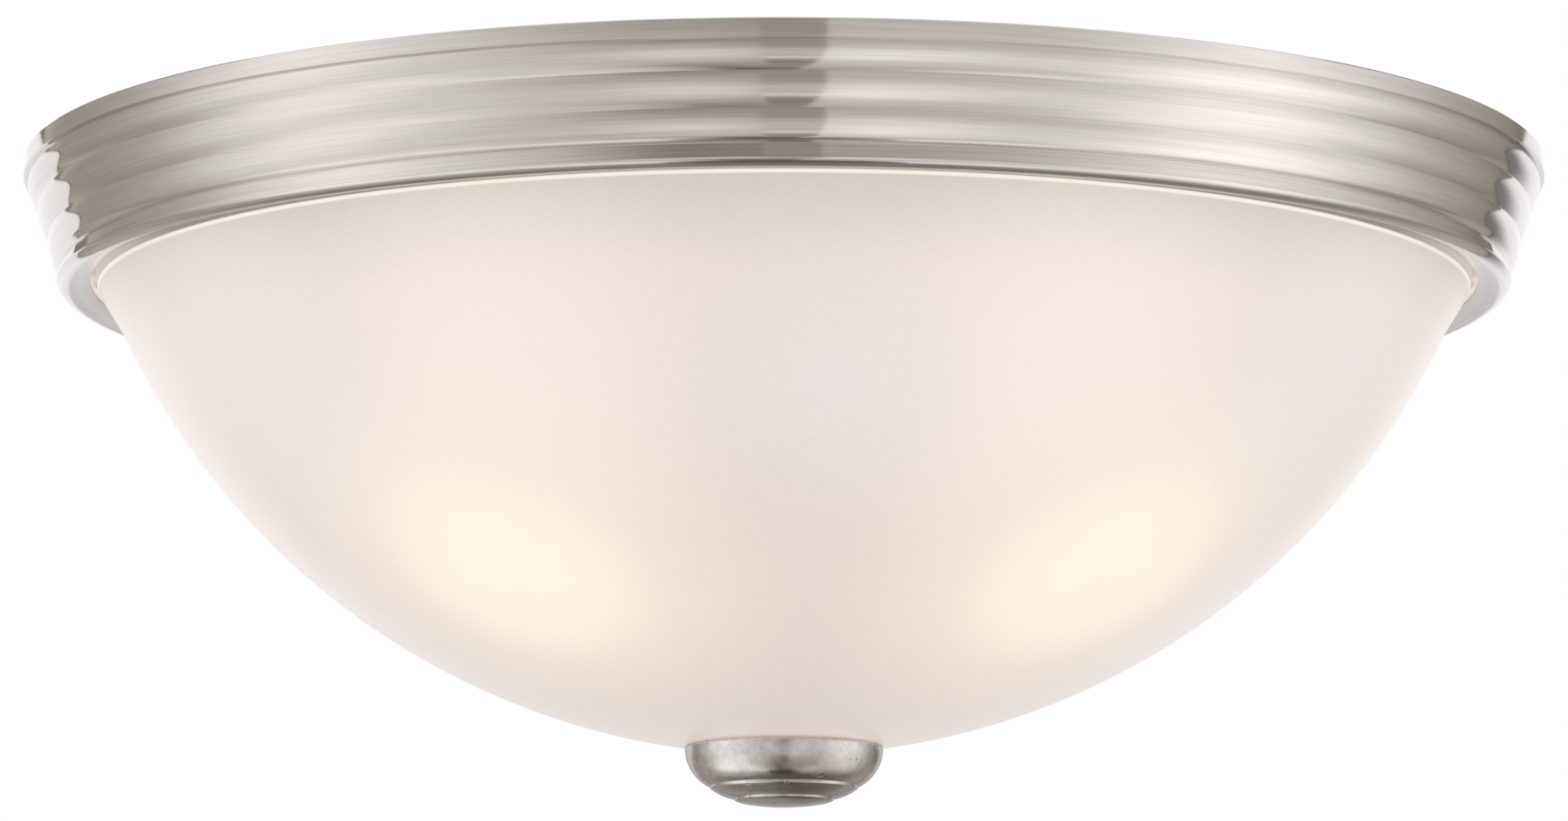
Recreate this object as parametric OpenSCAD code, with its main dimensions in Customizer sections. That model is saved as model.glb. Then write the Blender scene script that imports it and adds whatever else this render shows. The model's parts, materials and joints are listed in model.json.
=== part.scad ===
// Flush ceiling light: a ribbed metal pan, a domed frosted glass bowl held by a finial
// on a centre rod, and two lampholders with bulbs side by side inside.
// The origin is the centre of the ceiling plane, and the light hangs down from it.

/* [Glass bowl] */
// Width of the glass across its rim
bowl_w = 299.3; // [280:0.1:320]
// Depth of the glass from its rim to its lowest point
bowl_depth = 105.6; // [100:0.1:112]
// Thickness of the glass
glass_t = 4; // [3:0.1:5]
// Height of the collar that stands inside the lip
collar_h = 6.4; // [5.6:0.1:7]
// How far the collar narrows from the rim down to its lower edge
collar_in = 0.9; // [0.7:0.05:1.2]
// Height of the flare between the dome and the collar
flare_h = 9; // [7:0.5:12]
// Radius of the hole for the rod
glass_hole_r = 6.6; // [6.2:0.1:8]

/* [Pan] */
// Thickness of the spun sheet
sheet_t = 0.9; // [0.7:0.1:1.2]
// Room that the rim of the glass has to pass the lip
pass_gap = 0.6; // [0.5:0.1:1.5]
// Width of the underside from the lip to the bottom roll
flange_w = 4.6; // [4:0.1:7]
// Rise of the underside towards the lip
flange_rise = 1.4; // [0.6:0.1:1.8]
// Height of the turned-up edge of the lip
curl_h = 1.7; // [1.2:0.1:2]
// Height of the bottom roll
roll_h = 4.2; // [3.6:0.1:5]
// How far the bottom roll turns in
roll_in = 2.4; // [2:0.1:3.5]
// Number of full round beads
bead_count = 2; // [1:1:3]
// Height of a full round bead
bead_h = 6.9; // [6:0.1:8]
// Height of the narrow bead above them
upper_bead_h = 5.9; // [5:0.1:7]
// How far each bead stands in from the one above
bead_step = 2.25; // [1.5:0.05:3]
// How far a bead bulges
bead_crown = 0.8; // [0.5:0.05:1.2]
// Height of the plain band at the ceiling
band_h = 3.9; // [3:0.1:5]
// How far the plain band turns in
band_in = 1; // [0.6:0.05:1.5]
// Width of the flat ring that meets the ceiling
face_w = 17; // [12:1:22]
// Depth of the recess in the back
recess_d = 9; // [8:0.1:12]
// Width of the slope between the recess and the flat ring
slope_w = 9; // [6:1:12]

/* [Reflector] */
// Thickness of the reflector sheet
reflector_t = 0.7; // [0.5:0.1:1]
// Height of the wiring space above the reflector
wiring_h = 7; // [6.4:0.1:8]
// Drop from the reflector to the ledge that the glass meets
ledge_drop = 2.7; // [2:0.1:4]
// Width of that ledge
ledge_w = 6.4; // [5.5:0.1:8]
// Radius of the hole around the nut
nut_window_r = 16; // [15:0.5:19]
// Radius of the circle of reflector screws
screw_ring_r = 50; // [45:1:54]
// Radius of the feet that carry the reflector
foot_r = 5; // [4.5:0.1:6]

/* [Insulation] */
// Radius of the opening in the pad
pad_hole_r = 62; // [60:1:70]
// Thickness of the pad
pad_t = 7.5; // [5:0.5:8]

/* [Rod and nuts] */
// Radius of the threaded rod
rod_r = 5.15; // [5:0.05:5.5]
// Radius of the bore through the rod
rod_bore_r = 3.2; // [2.5:0.1:3.6]
// Pitch of the rod's thread
rod_pitch = 0.94; // [0.9:0.02:1.1]
// Depth of the rod's thread
rod_thread_d = 0.35; // [0.2:0.05:0.5]
// Length of thread at the lower end
low_thread_l = 16; // [12:1:24]
// Length of thread at the upper end
top_thread_l = 26; // [22:1:32]
// How far the rod stands above the ceiling plane
rod_above = 6; // [5:0.5:10]
// Width across the corners of the nuts
nut_corner_w = 16.5; // [15:0.1:18]
// Height of the nut under the pan
pan_nut_h = 4.5; // [3.5:0.1:6]
// Height of the nut above the bar
bar_nut_h = 3.4; // [3:0.1:4.5]
// Radius of the flat washer under the pan
pan_washer_r = 13; // [12:0.1:14]
// Thickness of the flat washer
pan_washer_t = 1.2; // [1:0.1:1.6]
// Radius of the toothed lock washer
lock_washer_r = 9.4; // [9:0.1:11]
// Thickness of the lock washer
lock_washer_t = 1; // [0.8:0.1:1.2]
// Number of teeth on the lock washer
lock_teeth = 10; // [8:1:14]

/* [Mounting bar] */
// How far the bar runs past each box screw
bar_past = 11.5; // [11:0.1:14]
// Width of the bar
bar_w = 22; // [20:0.5:25]
// Thickness of the bar
bar_t = 2; // [1.6:0.1:2.6]
// Distance between the two screws of the ceiling box
box_screw_spacing = 88.9; // [85:0.1:92]
// Length of the slots for the box screws
bar_slot_l = 12; // [10:0.5:14]
// Radius of the box screws' thread
box_screw_r = 2.08; // [2:0.01:2.4]
// Length of the box screws above the bar
box_screw_l = 16; // [12:1:20]
// Radius of a box screw's head
box_head_r = 4.1; // [3.8:0.1:4.6]
// Height of a box screw's head
box_head_h = 2.3; // [1.8:0.1:2.8]
// Distance of the ground screw from the centre
ground_x = 24; // [22:0.5:28]

/* [Lampholders] */
// Distance of each lamp's axis from the centre
lamp_x = 52; // [48:0.5:56]
// Distance of the lampholder's closed end behind the centre
lamp_y = 62; // [60:0.5:66]
// Depth of the closed end's centre below the ceiling plane
lamp_z = 46; // [44:0.5:50]
// Tilt of the lamps below level
lamp_tilt = 12; // [9:0.5:15]
// Radius of the lampholder at its base
holder_r = 16; // [15.6:0.1:18]
// Radius of the lampholder's rim
holder_rim_r = 19; // [17.5:0.1:20.5]
// Length of the lampholder
holder_l = 37; // [35:0.5:40]
// Length of the narrow base
holder_base_l = 12; // [10:0.5:15]
// Thickness of the closed end
holder_floor = 7; // [6.5:0.1:8]
// Thickness of the metal of the screw shell
shell_t = 0.5; // [0.4:0.05:0.6]
// Height of the screw shell
shell_h = 26; // [24:0.5:27.5]
// Pitch of the lamp thread
lamp_pitch = 3.63; // [3.5:0.01:3.8]
// Thickness of the bracket
bracket_t = 1.2; // [1:0.1:1.6]
// Width of the bracket
bracket_w = 16; // [14:0.5:18]
// Length of the bracket's foot on the reflector
bracket_foot_l = 20; // [18:0.5:24]
// Radius of a rivet's shank
rivet_r = 1.6; // [1.4:0.1:2]
// Distance of the lampholder's screws from its axis
holder_screw_y = 9; // [8:0.1:10]

/* [Bulbs] */
// Overall length of a bulb
bulb_l = 108; // [104:1:112]
// Radius of a bulb's globe
globe_r = 30; // [27:0.5:32]
// Radius of a bulb's neck
neck_r = 13.4; // [13:0.1:14.5]
// Thickness of a bulb's glass
bulb_glass_t = 0.8; // [0.6:0.1:1.2]
// Radius over the thread of a bulb's cap
cap_r = 13; // [12.8:0.05:13.2]
// Thickness of the cap's metal
cap_t = 0.35; // [0.3:0.05:0.5]
// Height of the cap's threaded wall
cap_h = 19; // [17:0.5:21]
// Height of the dark glass under the cap
insulator_h = 4.6; // [4:0.1:5.5]

/* [Finial and washers] */
// Radius of the finial's rim
finial_r = 21.4; // [20:0.1:23]
// Height of the finial below its rim
finial_h = 13; // [12.6:0.1:15]
// Thickness of the finial's wall
finial_t = 1.7; // [1.4:0.1:2.2]
// Radius of the finial's outer step
step_1_r = 16.3; // [15.5:0.1:17]
// Radius of the finial's inner step
step_2_r = 11; // [10:0.1:12]
// How far the finial's side bulges
finial_crown = 1.35; // [0.8:0.05:1.6]
// Radius of the threaded boss inside the finial
boss_r = 8.4; // [7.5:0.1:9]
// Radius of the rubber washer
rubber_washer_r = 14; // [12:0.1:15]
// Thickness of the rubber washer
rubber_washer_t = 1.2; // [1:0.1:1.6]
// Radius of the steel washer
steel_washer_r = 12; // [10:0.1:13]
// Thickness of the steel washer
steel_washer_t = 0.9; // [0.7:0.1:1.2]

/* [Wiring] */
// Radius of an insulated lead
lead_r = 1.2; // [1:0.05:1.3]
// Radius of the bore of a snap bushing
bushing_bore_r = 4.2; // [4:0.1:4.6]
// Radius of the flange of a snap bushing
bushing_r = 7.2; // [6.8:0.1:8]
// Thickness of a bushing's flange
bushing_flange_t = 1.1; // [0.9:0.1:1.3]
// Distance of the pan's bushing behind the centre
bushing_y = 28; // [27.5:0.5:28.5]
// Length of a wire connector
connector_l = 20; // [18:0.5:24]
// Radius of a wire connector's open end
connector_r = 6; // [5.6:0.1:6.4]

/* [Fits] */
// Gap left at a seat between pieces that come apart
seat_gap = 0.3; // [0.2:0.05:0.4]
// Radial clearance of a running thread or shaft
run_gap = 0.05; // [0.02:0.01:0.1]
// Radial clearance of a loose hole
hole_gap = 0.4; // [0.3:0.05:0.6]

/* [Hidden] */
$fn = 96;

arc_steps = 8;
far = 400;
round_side = 64;
bush_side = 48;

// Heights, all below the ceiling plane and so negative
recess_z = -recess_d;
plate_low_z = recess_z - sheet_t;
reflector_z = plate_low_z - wiring_h;
reflector_low_z = reflector_z - reflector_t;
ledge_z = reflector_low_z - ledge_drop;
rim_z = ledge_z - seat_gap;
bowl_low_z = rim_z - bowl_depth;

// The glass is a cap of a sphere with a collar round its rim
rim_r = bowl_w / 2;
collar_past = 0.15;
dome_rim_r = rim_r - collar_past;
bowl_r = (dome_rim_r * dome_rim_r + bowl_depth * bowl_depth) / (2 * bowl_depth);
bowl_mid_z = bowl_low_z + bowl_r;
function glass_z(r) = bowl_mid_z - sqrt(bowl_r * bowl_r - r * r);
function dome_r_at(z) = sqrt(bowl_r * bowl_r - pow(bowl_mid_z - z, 2));

// The ring's outline, from the lip out and up to the ceiling
pan_h = band_h + upper_bead_h + bead_count * bead_h + roll_h;
lip_r = rim_r + pass_gap;
low_r = lip_r + flange_w;
last_groove_r = low_r + roll_in;
first_groove_r = last_groove_r + (bead_count + 1) * bead_step;
ring_r = first_groove_r + band_in;
lip_round = 0.8;
lip_low_z = -pan_h + flange_rise;
curl_z = lip_low_z + lip_round + curl_h;
band_crown = 0.2;
roll_crown = 1;
wall_shift = sheet_t * 1.05;
recess_r = ring_r - face_w - slope_w;

function length2(v) = sqrt(v.x * v.x + v.y * v.y);
function rotated_left(v) = [-v.y, v.x];
// Points of an arc from p to q that bulges to the left of that direction
function arc(p, q, crown, steps = arc_steps) =
    let (
        c = length2(q - p),
        d = (q - p) / c,
        n = rotated_left(d),
        r = (c * c / 4 + crown * crown) / (2 * crown),
        middle = (p + q) / 2 - n * (r - crown),
        half = asin(c / 2 / r)
    )
    [for (i = [0 : steps]) let (a = -half + 2 * half * i / steps) middle + r * (cos(a) * n + sin(a) * d)];
function without_first(points) = [for (i = [1 : len(points) - 1]) points[i]];
function reversed(points) = [for (i = [len(points) - 1 : -1 : 0]) points[i]];
function groove(i) = [
    first_groove_r - i * bead_step,
    -band_h - (i > 0 ? upper_bead_h + (i - 1) * bead_h : 0)
];
function beads(shift) = [
    for (i = [0 : bead_count])
        for (p = without_first(arc(groove(i), groove(i + 1), bead_crown)))
            [p.x - shift, p.y]
];

ring_outline = concat(
    arc([ring_r, 0], groove(0), band_crown),
    beads(0),
    without_first(arc(groove(bead_count + 1), [low_r, -pan_h], roll_crown)),
    arc([lip_r + lip_round, lip_low_z], [lip_r, lip_low_z + lip_round], lip_round * 0.29, 4),
    [[lip_r, curl_z], [lip_r + sheet_t, curl_z], [lip_r + sheet_t, lip_low_z + lip_round + sheet_t]]
);
inner_outline = concat(
    [groove(0) - [wall_shift, 0]],
    beads(wall_shift),
    without_first(arc(
        groove(bead_count + 1) - [wall_shift, 0],
        [low_r, -pan_h] + [-sheet_t / 2, sheet_t],
        roll_crown
    ))
);

// The lamp's parts, measured along its axis from the lampholder's closed end
leaf_low = holder_floor - 2;
leaf_top = holder_floor + 1.8;
tip_s = leaf_top + seat_gap;
insulator_s = tip_s + 1.4;
cap_s = insulator_s + insulator_h;
cap_top_s = cap_s + cap_h;
bulb_end_s = tip_s + bulb_l;
globe_s = bulb_end_s - globe_r;
thread_wave = 0.4;
thread_start = 1.5;
cap_mid_r = cap_r - thread_wave;
shell_mid_r = cap_r + seat_gap + thread_wave + shell_t / 2;
holder_bore_r = shell_mid_r + thread_wave + shell_t / 2 + seat_gap;
tip_r = 4.6;
insulator_r = 11.4;
stem_r = 5.5;
stem_top_s = globe_s - 12;
filament_w = 26;

// The hole of each lamp's leads in the reflector
lead_hole_y = lamp_y + 24;
bushing_neck_r = bushing_bore_r + 1.3;
bushing_hole_r = bushing_neck_r + 0.1;
lead_hole_centres = [[lamp_x, lead_hole_y], [-lamp_x, lead_hole_y]];

// The stack under the glass
rubber_top_z = bowl_low_z - seat_gap;
rubber_low_z = rubber_top_z - rubber_washer_t;
steel_top_z = rubber_low_z - seat_gap;
steel_low_z = steel_top_z - steel_washer_t;
boss_top_z = steel_low_z - seat_gap;
finial_top_z = glass_z(finial_r) - seat_gap;
finial_low_z = finial_top_z - finial_h;
step_1_z = finial_low_z + 4.4;
step_2_z = finial_low_z + 1.75;
finial_floor = 2.6;
finial_bore_low_z = finial_low_z + finial_floor;
rod_low_z = finial_bore_low_z + 0.6;

washer_hole_r = rod_r + hole_gap;
nut_bore_r = rod_r + run_gap;

// The screws
screw_r = 2.08;
screw_hole_r = screw_r + hole_gap;
screw_head_r = 4;
screw_head_h = 2;
screw_past = 3;
bar_l = box_screw_spacing + 2 * bar_past;
bar_top_z = -seat_gap;
bar_low_z = bar_top_z - bar_t;
bar_slot_r = box_screw_r + hole_gap;
box_neck_r = box_screw_r - 0.25;
box_neck_l = 0.4;
ground_head_r = 4.2;
ground_l = 6;
wire_ease = 0.1;
ground_z = bar_low_z - lead_r - wire_ease;
holder_screw_r = 1.6;
holder_screw_hole_r = holder_screw_r + 0.2;
holder_screw_l = holder_floor - 2;
screw_end_gap = 0.2;
rivet_head_r = 3;
rivet_head_h = 1;
rivet_x = bracket_w / 4;

// Where the bracket's leg meets the reflector
foot_y = lamp_y + (-lamp_z - reflector_low_z) * tan(lamp_tilt);
bracket_leg_l = (lamp_z + reflector_low_z) / cos(lamp_tilt);
bracket_edge = 4;
rivet_edge = 6;
bracket_below = holder_screw_y + bracket_edge;
rivet_y = foot_y + bracket_foot_l - rivet_edge;

// The routes of the leads, from a lampholder through the reflector and the pan
black_route = [
    [39.5, 62.05, -46], [39.5, 66.9, -44.96], [40.2, 72, -41], [43, 78, -33], [47.5, 83.5, -25.5],
    [50, 86, -20], [50, 86, -17], [49.4, 85, -14.4], [46.5, 79.5, -13.4], [30, 57, -13.4],
    [12, 35.5, -13.4], [4.6, 30.6, -13.2], [2.2, 29.8, -11.6], [1.8, 29.6, -8.5], [1.8, 30, -3],
    [1.7, 33.5, 1.5], [1.5, 37.4, 5], [1.5, 38, 8], [1.5, 38, 15]
];
white_route = [
    [64.5, 62.05, -46], [64.5, 66.9, -44.96], [63.8, 72, -41], [61, 78, -33], [56.5, 83.5, -25.5],
    [54, 86, -20], [54, 86, -17], [53.4, 84.6, -14.4], [49.5, 76.5, -13.4], [36, 54, -13.4],
    [18, 32, -13.4], [5.6, 26.6, -13.2], [2.3, 26.3, -11.6], [1.8, 26.4, -8.5], [1.8, 26, -3],
    [1.7, 23.2, 1.5], [1.5, 19.6, 5], [1.5, 19, 8], [1.5, 19, 15]
];
ground_route = [
    [-30, -3.4, ground_z], [-24, -3.4, ground_z], [-18, -5.4, ground_z], [-13.6, -9.5, ground_z - 0.1],
    [-11.6, -12.6, ground_z + 0.1], [-10.5, -14.4, -1.2], [-10, -16.5, 2.5], [-10, -18, 7], [-10, -18, 15]
];
lead_aside = [0.75, -0.65, 0.1];
ground_aside = [0.65, 0.75, 0.1];
tube_sides = 8;
connector_z = 6;
connector_places = [[0, 38], [0, 19], [-8.3, -18]];
connector_bore_r = 3.2;
connector_bore_l = 11;

steel = [0.72, 0.73, 0.75];
zinc = [0.78, 0.76, 0.68];
nickel = [0.74, 0.71, 0.67];
brass = [0.8, 0.66, 0.36];
white_paint = [0.93, 0.93, 0.91];
porcelain = [0.95, 0.94, 0.9];
frosted = [0.97, 0.93, 0.88];

function unit(v) = v / norm(v);
// A tube along a route, with its rings square to the route
module tube(route, r, aside) {
    last = len(route) - 1;
    rings = [
        for (i = [0 : last])
            let (
                t = unit(route[min(i + 1, last)] - route[max(i - 1, 0)]),
                u = unit(aside - (aside * t) * t),
                v = cross(t, u)
            )
            for (k = [0 : tube_sides - 1])
                let (a = 360 * k / tube_sides)
                route[i] + r * (cos(a) * u + sin(a) * v)
    ];
    walls = [
        for (i = [0 : last - 1])
            for (k = [0 : tube_sides - 1])
                let (
                    a = i * tube_sides + k,
                    b = i * tube_sides + (k + 1) % tube_sides
                )
                for (f = [[a, a + tube_sides, b], [b, a + tube_sides, b + tube_sides]]) f
    ];
    start = [for (k = [0 : tube_sides - 1]) k];
    end = [for (k = [tube_sides - 1 : -1 : 0]) last * tube_sides + k];
    polyhedron(points = rings, faces = concat(walls, [start, end]), convexity = 10);
}

module at_lamp(side) {
    translate([side * lamp_x, lamp_y, -lamp_z]) rotate([90 + lamp_tilt, 0, 0]) children();
}

module ring(outer_r, inner_r, low_z, high_z) {
    translate([0, 0, low_z]) difference() {
        cylinder(r = outer_r, h = high_z - low_z);
        translate([0, 0, -1]) cylinder(r = inner_r, h = high_z - low_z + 2);
    }
}

module hex_nut(low_z, height) {
    translate([0, 0, low_z]) difference() {
        intersection() {
            cylinder(d = nut_corner_w, h = height, $fn = 6);
            rotate_extrude() polygon([
                [0, 0], [nut_corner_w * 0.44, 0], [nut_corner_w / 2, height * 0.2],
                [nut_corner_w / 2, height * 0.8], [nut_corner_w * 0.44, height], [0, height]
            ]);
        }
        translate([0, 0, -1]) cylinder(r = nut_bore_r, h = height + 2);
    }
}

// A round-headed screw that points up from the origin, with its head below
module screw(r, l, head_r, head_h, slot = true) {
    difference() {
        union() {
            cylinder(r = r, h = l, $fn = round_side);
            rotate_extrude() polygon([
                [0, 0], [0, -head_h], [head_r * 0.5, -head_h], [head_r * 0.85, -head_h * 0.72],
                [head_r, -head_h * 0.3], [head_r, 0]
            ]);
        }
        if (slot) {
            translate([-head_r - 1, -0.5, -head_h - 1]) cube([2 * head_r + 2, 1, 1 + head_h * 0.45]);
            translate([-0.5, -head_r * 0.6, -head_h - 1]) cube([1, head_r * 1.2, 1 + head_h * 0.45]);
        }
    }
}

module pan() {
    color(nickel) difference() {
        rotate_extrude($fn = 180) polygon(concat(
            [[0, recess_z], [recess_r, recess_z], [recess_r + slope_w, 0]],
            ring_outline,
            reversed(inner_outline),
            [
                [ring_r - band_in - sheet_t, -sheet_t],
                [recess_r + slope_w + sheet_t * 0.4, -sheet_t],
                [recess_r + sheet_t * 0.4, plate_low_z],
                [0, plate_low_z]
            ]
        ));
        translate([0, 0, plate_low_z - 1]) cylinder(r = washer_hole_r, h = sheet_t + 2);
        translate([0, bushing_y, plate_low_z - 1]) cylinder(r = bushing_hole_r, h = sheet_t + 2);
        for (a = [45 : 90 : 315])
            rotate(a) translate([screw_ring_r, 0, plate_low_z - 1]) {
                cylinder(r = screw_r + run_gap, h = sheet_t + 2, $fn = round_side);
            }
    }
}

module insulation_pad() {
    pad_ease = 2;
    color([0.93, 0.86, 0.55]) ring(recess_r - pad_ease, pad_hole_r, recess_z, recess_z + pad_t);
}

module reflector() {
    ledge_r = lip_r - seat_gap;
    step_r = ledge_r - ledge_w;
    slope_in = 1.5;
    color(white_paint) difference() {
        union() {
            rotate_extrude($fn = 180) polygon([
                [nut_window_r, reflector_z], [step_r - slope_in, reflector_z],
                [step_r + reflector_t * 0.7, ledge_z + reflector_t], [ledge_r, ledge_z + reflector_t],
                [ledge_r, ledge_z], [step_r, ledge_z],
                [step_r - slope_in - reflector_t * 0.7, reflector_low_z], [nut_window_r, reflector_low_z]
            ]);
            for (a = [45 : 90 : 315])
                rotate(a) translate([screw_ring_r, 0, reflector_low_z]) {
                    cylinder(r = foot_r, h = plate_low_z - reflector_low_z, $fn = round_side);
                }
        }
        for (a = [45 : 90 : 315])
            rotate(a) translate([screw_ring_r, 0, reflector_low_z - 1]) {
                cylinder(r = screw_hole_r, h = plate_low_z - reflector_low_z + 2, $fn = round_side);
            }
        for (c = lead_hole_centres)
            translate([c.x, c.y, reflector_low_z - 1]) {
                cylinder(r = bushing_hole_r, h = reflector_t + 2);
            }
        for (side = [-1, 1])
            for (x = [-rivet_x, rivet_x])
                translate([side * lamp_x + x, rivet_y, reflector_low_z - 1]) {
                    cylinder(r = rivet_r + run_gap, h = reflector_t + 2, $fn = round_side);
                }
    }
}

module reflector_screws() {
    color(steel) for (a = [45 : 90 : 315])
        rotate(a) translate([screw_ring_r, 0, reflector_low_z]) {
            screw(screw_r, recess_z - reflector_low_z + screw_past, screw_head_r, screw_head_h);
        }
}

module mounting_bar() {
    end_r = bar_w / 2;
    color(zinc) translate([0, 0, bar_low_z]) difference() {
        linear_extrude(bar_t) difference() {
            union() {
                square([bar_l - bar_w, bar_w], center = true);
                for (side = [-1, 1])
                    translate([side * (bar_l / 2 - end_r), 0]) circle(r = end_r);
            }
            for (side = [-1, 1])
                translate([side * box_screw_spacing / 2, 0]) {
                    square([bar_slot_l - 2 * bar_slot_r, 2 * bar_slot_r], center = true);
                    for (end = [-1, 1])
                        translate([end * (bar_slot_l / 2 - bar_slot_r), 0]) {
                            circle(r = bar_slot_r, $fn = bush_side);
                        }
                }
        }
        translate([0, 0, -1]) cylinder(r = nut_bore_r, h = bar_t + 2);
        for (side = [-1, 1])
            translate([side * ground_x, 0, -1]) {
                cylinder(r = screw_r + run_gap, h = bar_t + 2, $fn = round_side);
            }
    }
}

module box_screws() {
    color(steel) for (side = [-1, 1])
        translate([side * box_screw_spacing / 2, 0, bar_low_z]) {
            screw(box_neck_r, bar_t + box_neck_l, box_head_r, box_head_h);
            translate([0, 0, bar_t + box_neck_l]) {
                cylinder(r = box_screw_r, h = box_screw_l - 1, $fn = round_side);
                translate([0, 0, box_screw_l - 1])
                    cylinder(r1 = box_screw_r, r2 = box_screw_r - 0.6, h = 0.8, $fn = round_side);
            }
        }
}

module bar_nut() {
    color(zinc) hex_nut(bar_top_z, bar_nut_h);
}

module ground_screw() {
    color([0.25, 0.6, 0.35]) translate([-ground_x, 0, ground_z - lead_r - wire_ease]) {
        screw(screw_r, ground_l + 2 * lead_r, ground_head_r, screw_head_h);
    }
}

module ground_wire() {
    color([0.3, 0.62, 0.35]) tube(ground_route, lead_r, ground_aside);
}

// Outline of the side of the rod along a stretch of thread
function thread_side(low_z, length) = [
    for (i = [0 : floor(length / rod_pitch) - 1])
        for (p = [
            [rod_r, low_z + i * rod_pitch + rod_pitch * 0.15],
            [rod_r, low_z + i * rod_pitch + rod_pitch * 0.45],
            [rod_r - rod_thread_d, low_z + i * rod_pitch + rod_pitch * 0.8],
            [rod_r - rod_thread_d, low_z + i * rod_pitch + rod_pitch * 0.9]
        ]) p
];

module threaded_rod() {
    top_low = rod_above - top_thread_l;
    color(zinc) rotate_extrude() polygon(concat(
        [[rod_bore_r, rod_low_z], [rod_r - rod_thread_d, rod_low_z]],
        thread_side(rod_low_z, low_thread_l),
        [[rod_r, rod_low_z + low_thread_l], [rod_r, top_low]],
        thread_side(top_low, top_thread_l),
        [[rod_r - rod_thread_d, rod_above], [rod_bore_r, rod_above]]
    ));
}

module pan_washer() {
    color(zinc) ring(pan_washer_r, washer_hole_r, plate_low_z - pan_washer_t, plate_low_z);
}

module lock_washer() {
    top = plate_low_z - pan_washer_t;
    tooth_l = 1.6;
    tooth_w = 2;
    color(steel) translate([0, 0, top - lock_washer_t]) linear_extrude(lock_washer_t) difference() {
        union() {
            circle(r = lock_washer_r - tooth_l);
            for (i = [0 : lock_teeth - 1])
                rotate(i * 360 / lock_teeth) translate([0, -tooth_w / 2]) square([lock_washer_r, tooth_w]);
        }
        circle(r = washer_hole_r);
    }
}

module pan_nut() {
    color(zinc) hex_nut(plate_low_z - pan_washer_t - lock_washer_t - pan_nut_h, pan_nut_h);
}

module lampholder_bracket(side) {
    color(steel) difference() {
        union() {
            at_lamp(side) translate([-bracket_w / 2, -bracket_below, -bracket_t]) {
                cube([bracket_w, bracket_below + bracket_leg_l - bracket_t, bracket_t]);
            }
            translate([side * lamp_x - bracket_w / 2, foot_y - bracket_t, reflector_low_z - bracket_t]) {
                cube([bracket_w, bracket_foot_l, bracket_t]);
            }
        }
        at_lamp(side) for (y = [-holder_screw_y, holder_screw_y])
            translate([0, y, -bracket_t - 1]) {
                cylinder(r = holder_screw_hole_r, h = bracket_t + 2, $fn = round_side);
            }
        for (x = [-rivet_x, rivet_x])
            translate([side * lamp_x + x, rivet_y, reflector_low_z - bracket_t - 1]) {
                cylinder(r = rivet_r + run_gap, h = bracket_t + 2, $fn = round_side);
            }
    }
}

module bracket_rivets() {
    l = reflector_t + bracket_t;
    color(steel) for (side = [-1, 1])
        for (x = [-rivet_x, rivet_x])
            translate([side * lamp_x + x, rivet_y, reflector_low_z - bracket_t]) {
                screw(rivet_r, l, rivet_head_r, rivet_head_h, false);
                translate([0, 0, l]) cylinder(r1 = rivet_head_r, r2 = rivet_head_r * 0.7, h = rivet_head_h);
            }
}

module lampholder_screws() {
    color(steel) for (side = [-1, 1])
        at_lamp(side) for (y = [-holder_screw_y, holder_screw_y])
            translate([0, y, -bracket_t]) {
                screw(holder_screw_r, bracket_t + holder_screw_l, rivet_head_r, rivet_head_h);
            }
}

module lampholder_body(side) {
    flare = 4;
    well_r = 6.5;
    mouth_bevel = 0.6;
    color(porcelain) at_lamp(side) difference() {
        rotate_extrude() polygon(concat(
            [[0, 0], [holder_r - 1, 0], [holder_r, 1], [holder_r, holder_base_l]],
            arc([holder_rim_r, holder_base_l + flare], [holder_rim_r, holder_l - 1], -0.3, 4),
            [
                [holder_rim_r - 1, holder_l], [holder_bore_r + mouth_bevel, holder_l],
                [holder_bore_r, holder_l - mouth_bevel], [holder_bore_r, holder_floor],
                [well_r, holder_floor], [well_r, leaf_low], [0, leaf_low]
            ]
        ));
        for (y = [-holder_screw_y, holder_screw_y])
            translate([0, y, -1]) {
                hole_l = 1 + holder_screw_l + screw_end_gap;
                cylinder(r = holder_screw_r + run_gap, h = hole_l, $fn = round_side);
            }
    }
}

// Radius of a rolled thread at a height, around its middle radius
function rolled(middle_r, s) = middle_r + thread_wave * cos(360 * s / lamp_pitch);
wave_step = lamp_pitch / 6;

module lampholder_shell(side) {
    low = holder_floor;
    hole_r = 8;
    steps = floor((shell_h - 2) / wave_step);
    wave = [for (i = [0 : steps]) low + thread_start + i * wave_step];
    color(brass) at_lamp(side) rotate_extrude() polygon(concat(
        [[hole_r, low], [shell_mid_r + shell_t / 2, low]],
        [for (s = wave) [rolled(shell_mid_r + shell_t / 2, s), s]],
        [for (s = reversed(wave)) [rolled(shell_mid_r - shell_t / 2, s), s]],
        [[shell_mid_r - shell_t / 2, low + shell_t], [hole_r, low + shell_t]]
    ));
}

module lampholder_contact(side) {
    t = 0.6;
    w = 6;
    half_l = 5.4;
    color(brass) at_lamp(side) translate([w / 2, 0, 0]) rotate([0, -90, 0]) linear_extrude(w) polygon([
        [leaf_low, -half_l], [leaf_low, half_l], [leaf_low + 1.5 * t, half_l], [leaf_top, -1],
        [leaf_top, -3.2], [leaf_top - t, -3.2], [leaf_top - t, -1.4], [leaf_low + t, half_l - 3 * t],
        [leaf_low + t, -half_l]
    ]);
}

module lead(route, side, hue) {
    color(hue) mirror([side < 0 ? 1 : 0, 0, 0]) tube(route, lead_r, lead_aside);
}

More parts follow.
